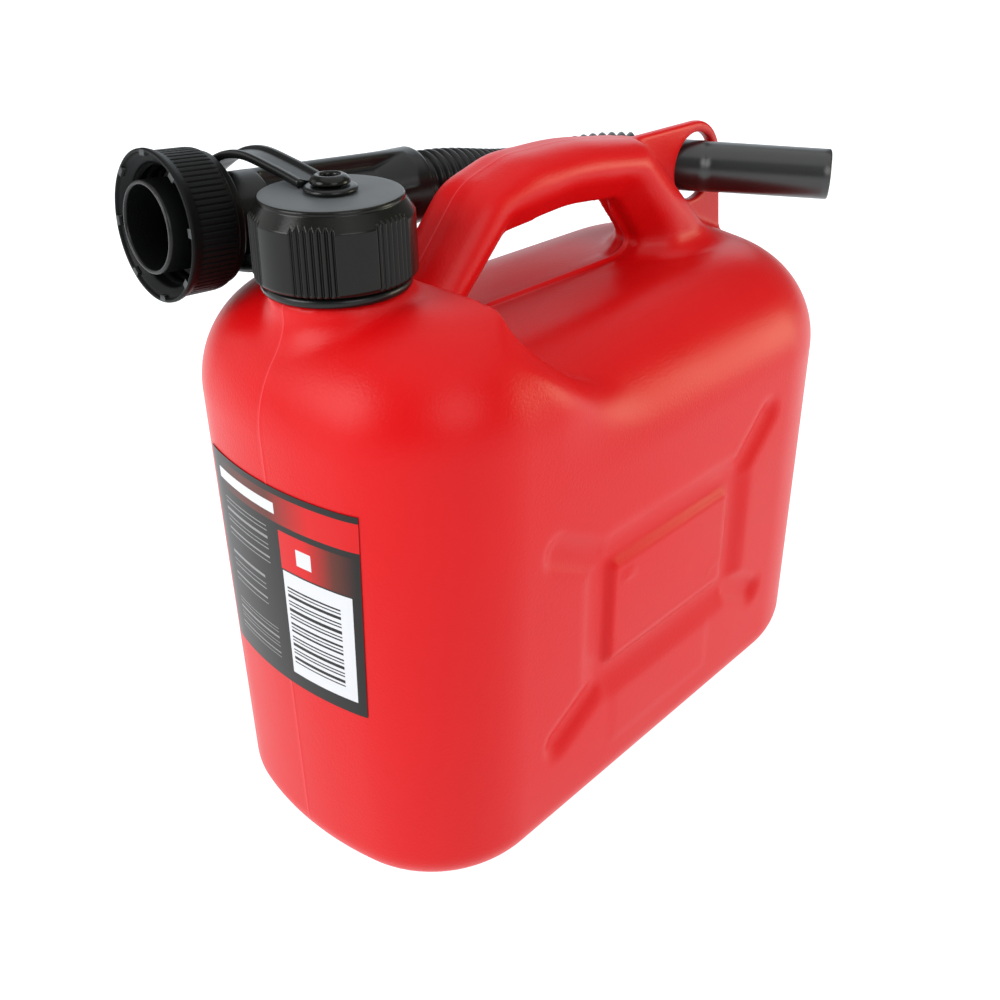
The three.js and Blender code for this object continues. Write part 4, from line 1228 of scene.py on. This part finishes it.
nut_outline = closed_profile(
    [(NUT_BACK, NUT_HOLE), (NUT_BACK, NUT_BORE), (3.4, NUT_BORE), (3.0, 20.3), (1.3, 22.6), (1.2, 22.8),
     (0.9, 23.2), (0.25, 23.5), (0.0, 23.8), (0.0, 24.2), (0.3, 24.55), (1.2, 24.6), (2.4, 24.2), (4.0, 23.5),
     (15.4, 23.4), (16.8, 23.2), (17.6, 22.9), (17.9, 22.4), (18.6, 22.3), (20.2, 21.8), (21.1, 20.8),
     (NUT_LENGTH, 19.4), (NUT_LENGTH, NUT_HOLE)], 0.7)
nut_grid = spout_form(nut_outline, NUT_COLUMNS, nut_shape)[::-1]
nut = add_tube("nut", nut_grid, black_dull, "nut", ["collar_nut"])
nut_middle = (nut_outline[::-1] + np.roll(nut_outline[::-1], -1, axis=0)) / 2
stud_rows = (nut_middle[:, 0] < STUD_DEPTH) & (nut_middle[:, 1] < STUD_OUTER + 0.2)
stud_faces = stud_rows[:, None] & on_stud(angles_round(NUT_COLUMNS))
nut.data.materials.append(grey_stud)
nut.data.polygons.foreach_set("material_index", stud_faces.ravel().astype(np.int32))
print("stud faces:", int(stud_faces.sum()))

# %% [markdown]
# Behind the nut's thread a flat rubber ring seals the spout against the neck's rim when it is screwed on.

# %% Seal in the nut
seal_outline = closed_profile(
    [(12.6, 15.4), (12.6, 18.4), (13.0, 18.8), (14.2, 18.8), (14.6, 18.4), (14.6, 15.4)], 0.8)
add_tube("nut_seal", spout_form(seal_outline, 96), seal_rubber, "can", ["spout_gasket"])

# %% [markdown]
# The stiff base is a tube with a collar for the nut. Further on it thins to a core between four rails. Rails
# could be joined on as bars. Here the tube is pressed in between them, so no seams are left.

# %% Spout base with rails
CORE = 9.6
RAIL_HALF = 3.0
RAIL_CROWN = 14.2
RAIL_ROUNDING = 0.06
POCKET_START = 37.0
POCKET_EASE = 2.0
RAMP_START = 86.0
RING_START = 99.6
TUBE_SKIN = 12.9
SPIGOT_BORE = 8.2
SPIGOT_RADIUS = 9.4


def base_shape(distance, radius, angle):
    """Between the tube and the end ring the base drops to a core that carries four rails. A ramp climbs
    back out."""
    ramp = np.clip((RING_START - distance) / (RING_START - RAMP_START), 0, 1)
    pocket = soft_step(distance, POCKET_START, POCKET_START + POCKET_EASE) * ramp
    quarter = math.pi / 2
    local = (angle + quarter / 2) % quarter - quarter / 2
    aside = np.abs(TUBE_RADIUS * np.sin(local))
    rail = 1 - soft_step(aside, RAIL_HALF - 0.2, RAIL_HALF + 1.0)
    crown = RAIL_CROWN - RAIL_ROUNDING * aside ** 2
    floor_radius = CORE + (crown - CORE) * rail
    return np.where(radius > TUBE_SKIN, radius + (floor_radius - radius) * pocket, radius)


base_outline = closed_profile(
    [(FREE_START, SPIGOT_BORE), (38.0, SPIGOT_BORE), (34.0, 12.2), (17.5, 12.2), (14.9, 13.4), (-1.9, 13.6),
     (-2.2, 13.9), (-2.2, 14.6), (-1.8, 15.0), (14.8, 15.0), (14.9, 18.6), (17.4, 18.6),
     (17.5, TUBE_RADIUS), (38.5, TUBE_RADIUS), (RING_START, 14.3), (BASE_LENGTH - 1.6, 14.5),
     (BASE_LENGTH - 0.5, 14.0), (BASE_LENGTH, 13.2), (BASE_LENGTH, SPIGOT_RADIUS),
     (FREE_START, SPIGOT_RADIUS)], 0.8)
base_grid = spout_form(base_outline, 200, base_shape)[::-1]
add_tube("spout_root", base_grid, black_satin, "can", ["spout_base"])

# %% [markdown]
# Its folds let the hose bend. They are a wave in the outline, carried along the curved route, so they crowd
# together on the inside of the bend as real folds do.

# %% Corrugated hose
HOSE_CREST = 12.4
HOSE_ROOT = 10.7
HOSE_BORE = 9.7
HOSE_FOLDS = 29
HOSE_CUFF = 4.0
HOSE_PLAY = 0.3
HOSE_START = BASE_LENGTH + HOSE_PLAY
HOSE_END = LUG_DISTANCE - NOZZLE_BEFORE_LUG - HOSE_PLAY


def hose_outline():
    """Round crests and narrow roots along the hose, with a plain cuff at both ends and a smooth bore."""
    distance = np.linspace(HOSE_START, HOSE_END, HOSE_FOLDS * 12)
    fold = (distance - HOSE_START - HOSE_CUFF) / (HOSE_END - HOSE_START - 2 * HOSE_CUFF)
    wave = np.sqrt(0.5 - 0.5 * np.cos(2 * np.pi * HOSE_FOLDS * np.clip(fold, 0, 1)))
    outer = np.stack([distance, HOSE_ROOT + (HOSE_CREST - HOSE_ROOT) * wave], axis=1)
    back = np.linspace(HOSE_END, HOSE_START, 60)
    inner = np.stack([back, np.full_like(back, HOSE_BORE)], axis=1)
    return np.vstack([outer, inner])


hose_grid = spout_form(hose_outline(), 72)[::-1]
add_tube("hose", hose_grid, black_satin, "can", ["spout_hose"])

# %% [markdown]
# The nozzle is a plain tube that narrows a little, with a cuff where it takes the hose. It passes through the
# lug's eye, which holds the stowed spout.

# %% Nozzle
NOZZLE_START = LUG_DISTANCE - NOZZLE_BEFORE_LUG
NOZZLE_END = LUG_DISTANCE + 57.0
SPIGOT_END = NOZZLE_START - SPIGOT_LENGTH
nozzle_outline = closed_profile(
    [(SPIGOT_END, SPIGOT_BORE), (SPIGOT_END, SPIGOT_RADIUS), (NOZZLE_START, SPIGOT_RADIUS),
     (NOZZLE_START, 10.9), (NOZZLE_START + 0.3, 11.2), (NOZZLE_START + 7.7, 11.2),
     (NOZZLE_START + 8.1, 10.65), (LUG_DISTANCE + 6.0, 10.6), (LUG_DISTANCE + 6.2, 10.4),
     (NOZZLE_END - 0.5, 10.25), (NOZZLE_END, 9.8), (NOZZLE_END, 8.6), (NOZZLE_END - 0.4, SPIGOT_BORE)], 3.0)
nozzle_grid = spout_form(nozzle_outline, 128)[::-1]
add_tube("nozzle", nozzle_grid, black_soft, "can", ["spout_nozzle"])

# %% [markdown]
# ## The floor and the light
#
# The can is pictured on white. The floor glows, so that it stays white into the distance, and the surround is
# white where it is seen but lights the can only faintly.

# %% Floor
FLOOR_HALF = 6.0
floor_mesh = bpy.data.meshes.new("floor")
floor_corners = [(x * FLOOR_HALF, y * FLOOR_HALF, 0.0) for x, y in ((-1, -1), (1, -1), (1, 1), (-1, 1))]
floor_mesh.from_pydata(floor_corners, [], [(0, 1, 2, 3)])
floor = bpy.data.objects.new("floor", floor_mesh)
bpy.context.scene.collection.objects.link(floor)
floor_finish, _, floor_shader = new_finish("pale_floor")
floor_shader.inputs["Base Color"].default_value = (0.35, 0.35, 0.35, 1.0)
floor_shader.inputs["Roughness"].default_value = 0.9
floor_shader.inputs["Emission Color"].default_value = (0.94, 0.97, 1.0, 1.0)
floor_shader.inputs["Emission Strength"].default_value = 1.0
floor_mesh.materials.append(floor_finish)
print("floor", 2 * FLOOR_HALF, "m wide")

# %% [markdown]
# A window to the left makes the round highlight on the front, and a weak one behind it rims the dome. One to
# the right of the camera lights the near side, a low one further right gives the roof's edge its sheen, a
# cool one far behind lies as a pale haze on the roof and the handle, and a wide lamp above fills the roof.

# %% Lights
CAN_MIDDLE = np.array([0.0, 0.0, 0.12])
WHITE = (1.0, 1.0, 1.0)


def soft_light(name, azimuth, elevation, away, size, power, colour):
    """A round soft light, turned to the can. Azimuth 0 faces the near side, and it grows to the right."""
    data = bpy.data.lights.new(name, "AREA")
    data.shape = "DISK"
    data.size = size
    data.energy = power
    data.color = colour
    light = bpy.data.objects.new(name, data)
    turn = math.radians(azimuth)
    rise = math.radians(elevation)
    way = np.array([math.sin(turn) * math.cos(rise), -math.cos(turn) * math.cos(rise), math.sin(rise)])
    light.location = CAN_MIDDLE + away * way
    light.rotation_euler = (math.pi / 2 - rise, 0.0, turn)
    light.visible_camera = False
    bpy.context.scene.collection.objects.link(light)
    print(name, [round(value, 2) for value in light.location])


soft_light("window_left", -104.0, 24.0, 1.6, 1.0, 16.0, WHITE)
soft_light("window_behind", -145.0, 20.0, 1.6, 1.1, 3.0, WHITE)
soft_light("window_near", -17.0, 27.0, 1.8, 1.1, 9.0, WHITE)
soft_light("window_right", 52.0, 8.0, 1.8, 0.8, 11.0, (1.0, 0.95, 0.66))
soft_light("window_far", 132.0, 25.0, 2.0, 1.8, 9.0, (0.84, 0.93, 1.0))
soft_light("lamp_above", 30.0, 82.0, 1.6, 2.6, 17.0, WHITE)

# %% Surround
SURROUND_GLOW = 0.22
world = bpy.data.worlds.new("surround")
world.use_nodes = True
world_nodes = world.node_tree.nodes
world_links = world.node_tree.links
glow = world_nodes["Background"]
glow.inputs["Color"].default_value = (*WHITE, 1.0)
glow.inputs["Strength"].default_value = SURROUND_GLOW
backdrop = world_nodes.new("ShaderNodeBackground")
backdrop.inputs["Color"].default_value = (*WHITE, 1.0)
seen = world_nodes.new("ShaderNodeLightPath")
either = world_nodes.new("ShaderNodeMixShader")
world_links.new(seen.outputs["Is Camera Ray"], either.inputs[0])
world_links.new(glow.outputs[0], either.inputs[1])
world_links.new(backdrop.outputs[0], either.inputs[2])
world_links.new(either.outputs[0], world_nodes["World Output"].inputs["Surface"])
bpy.context.scene.world = world
bpy.context.scene.view_settings.view_transform = "Standard"
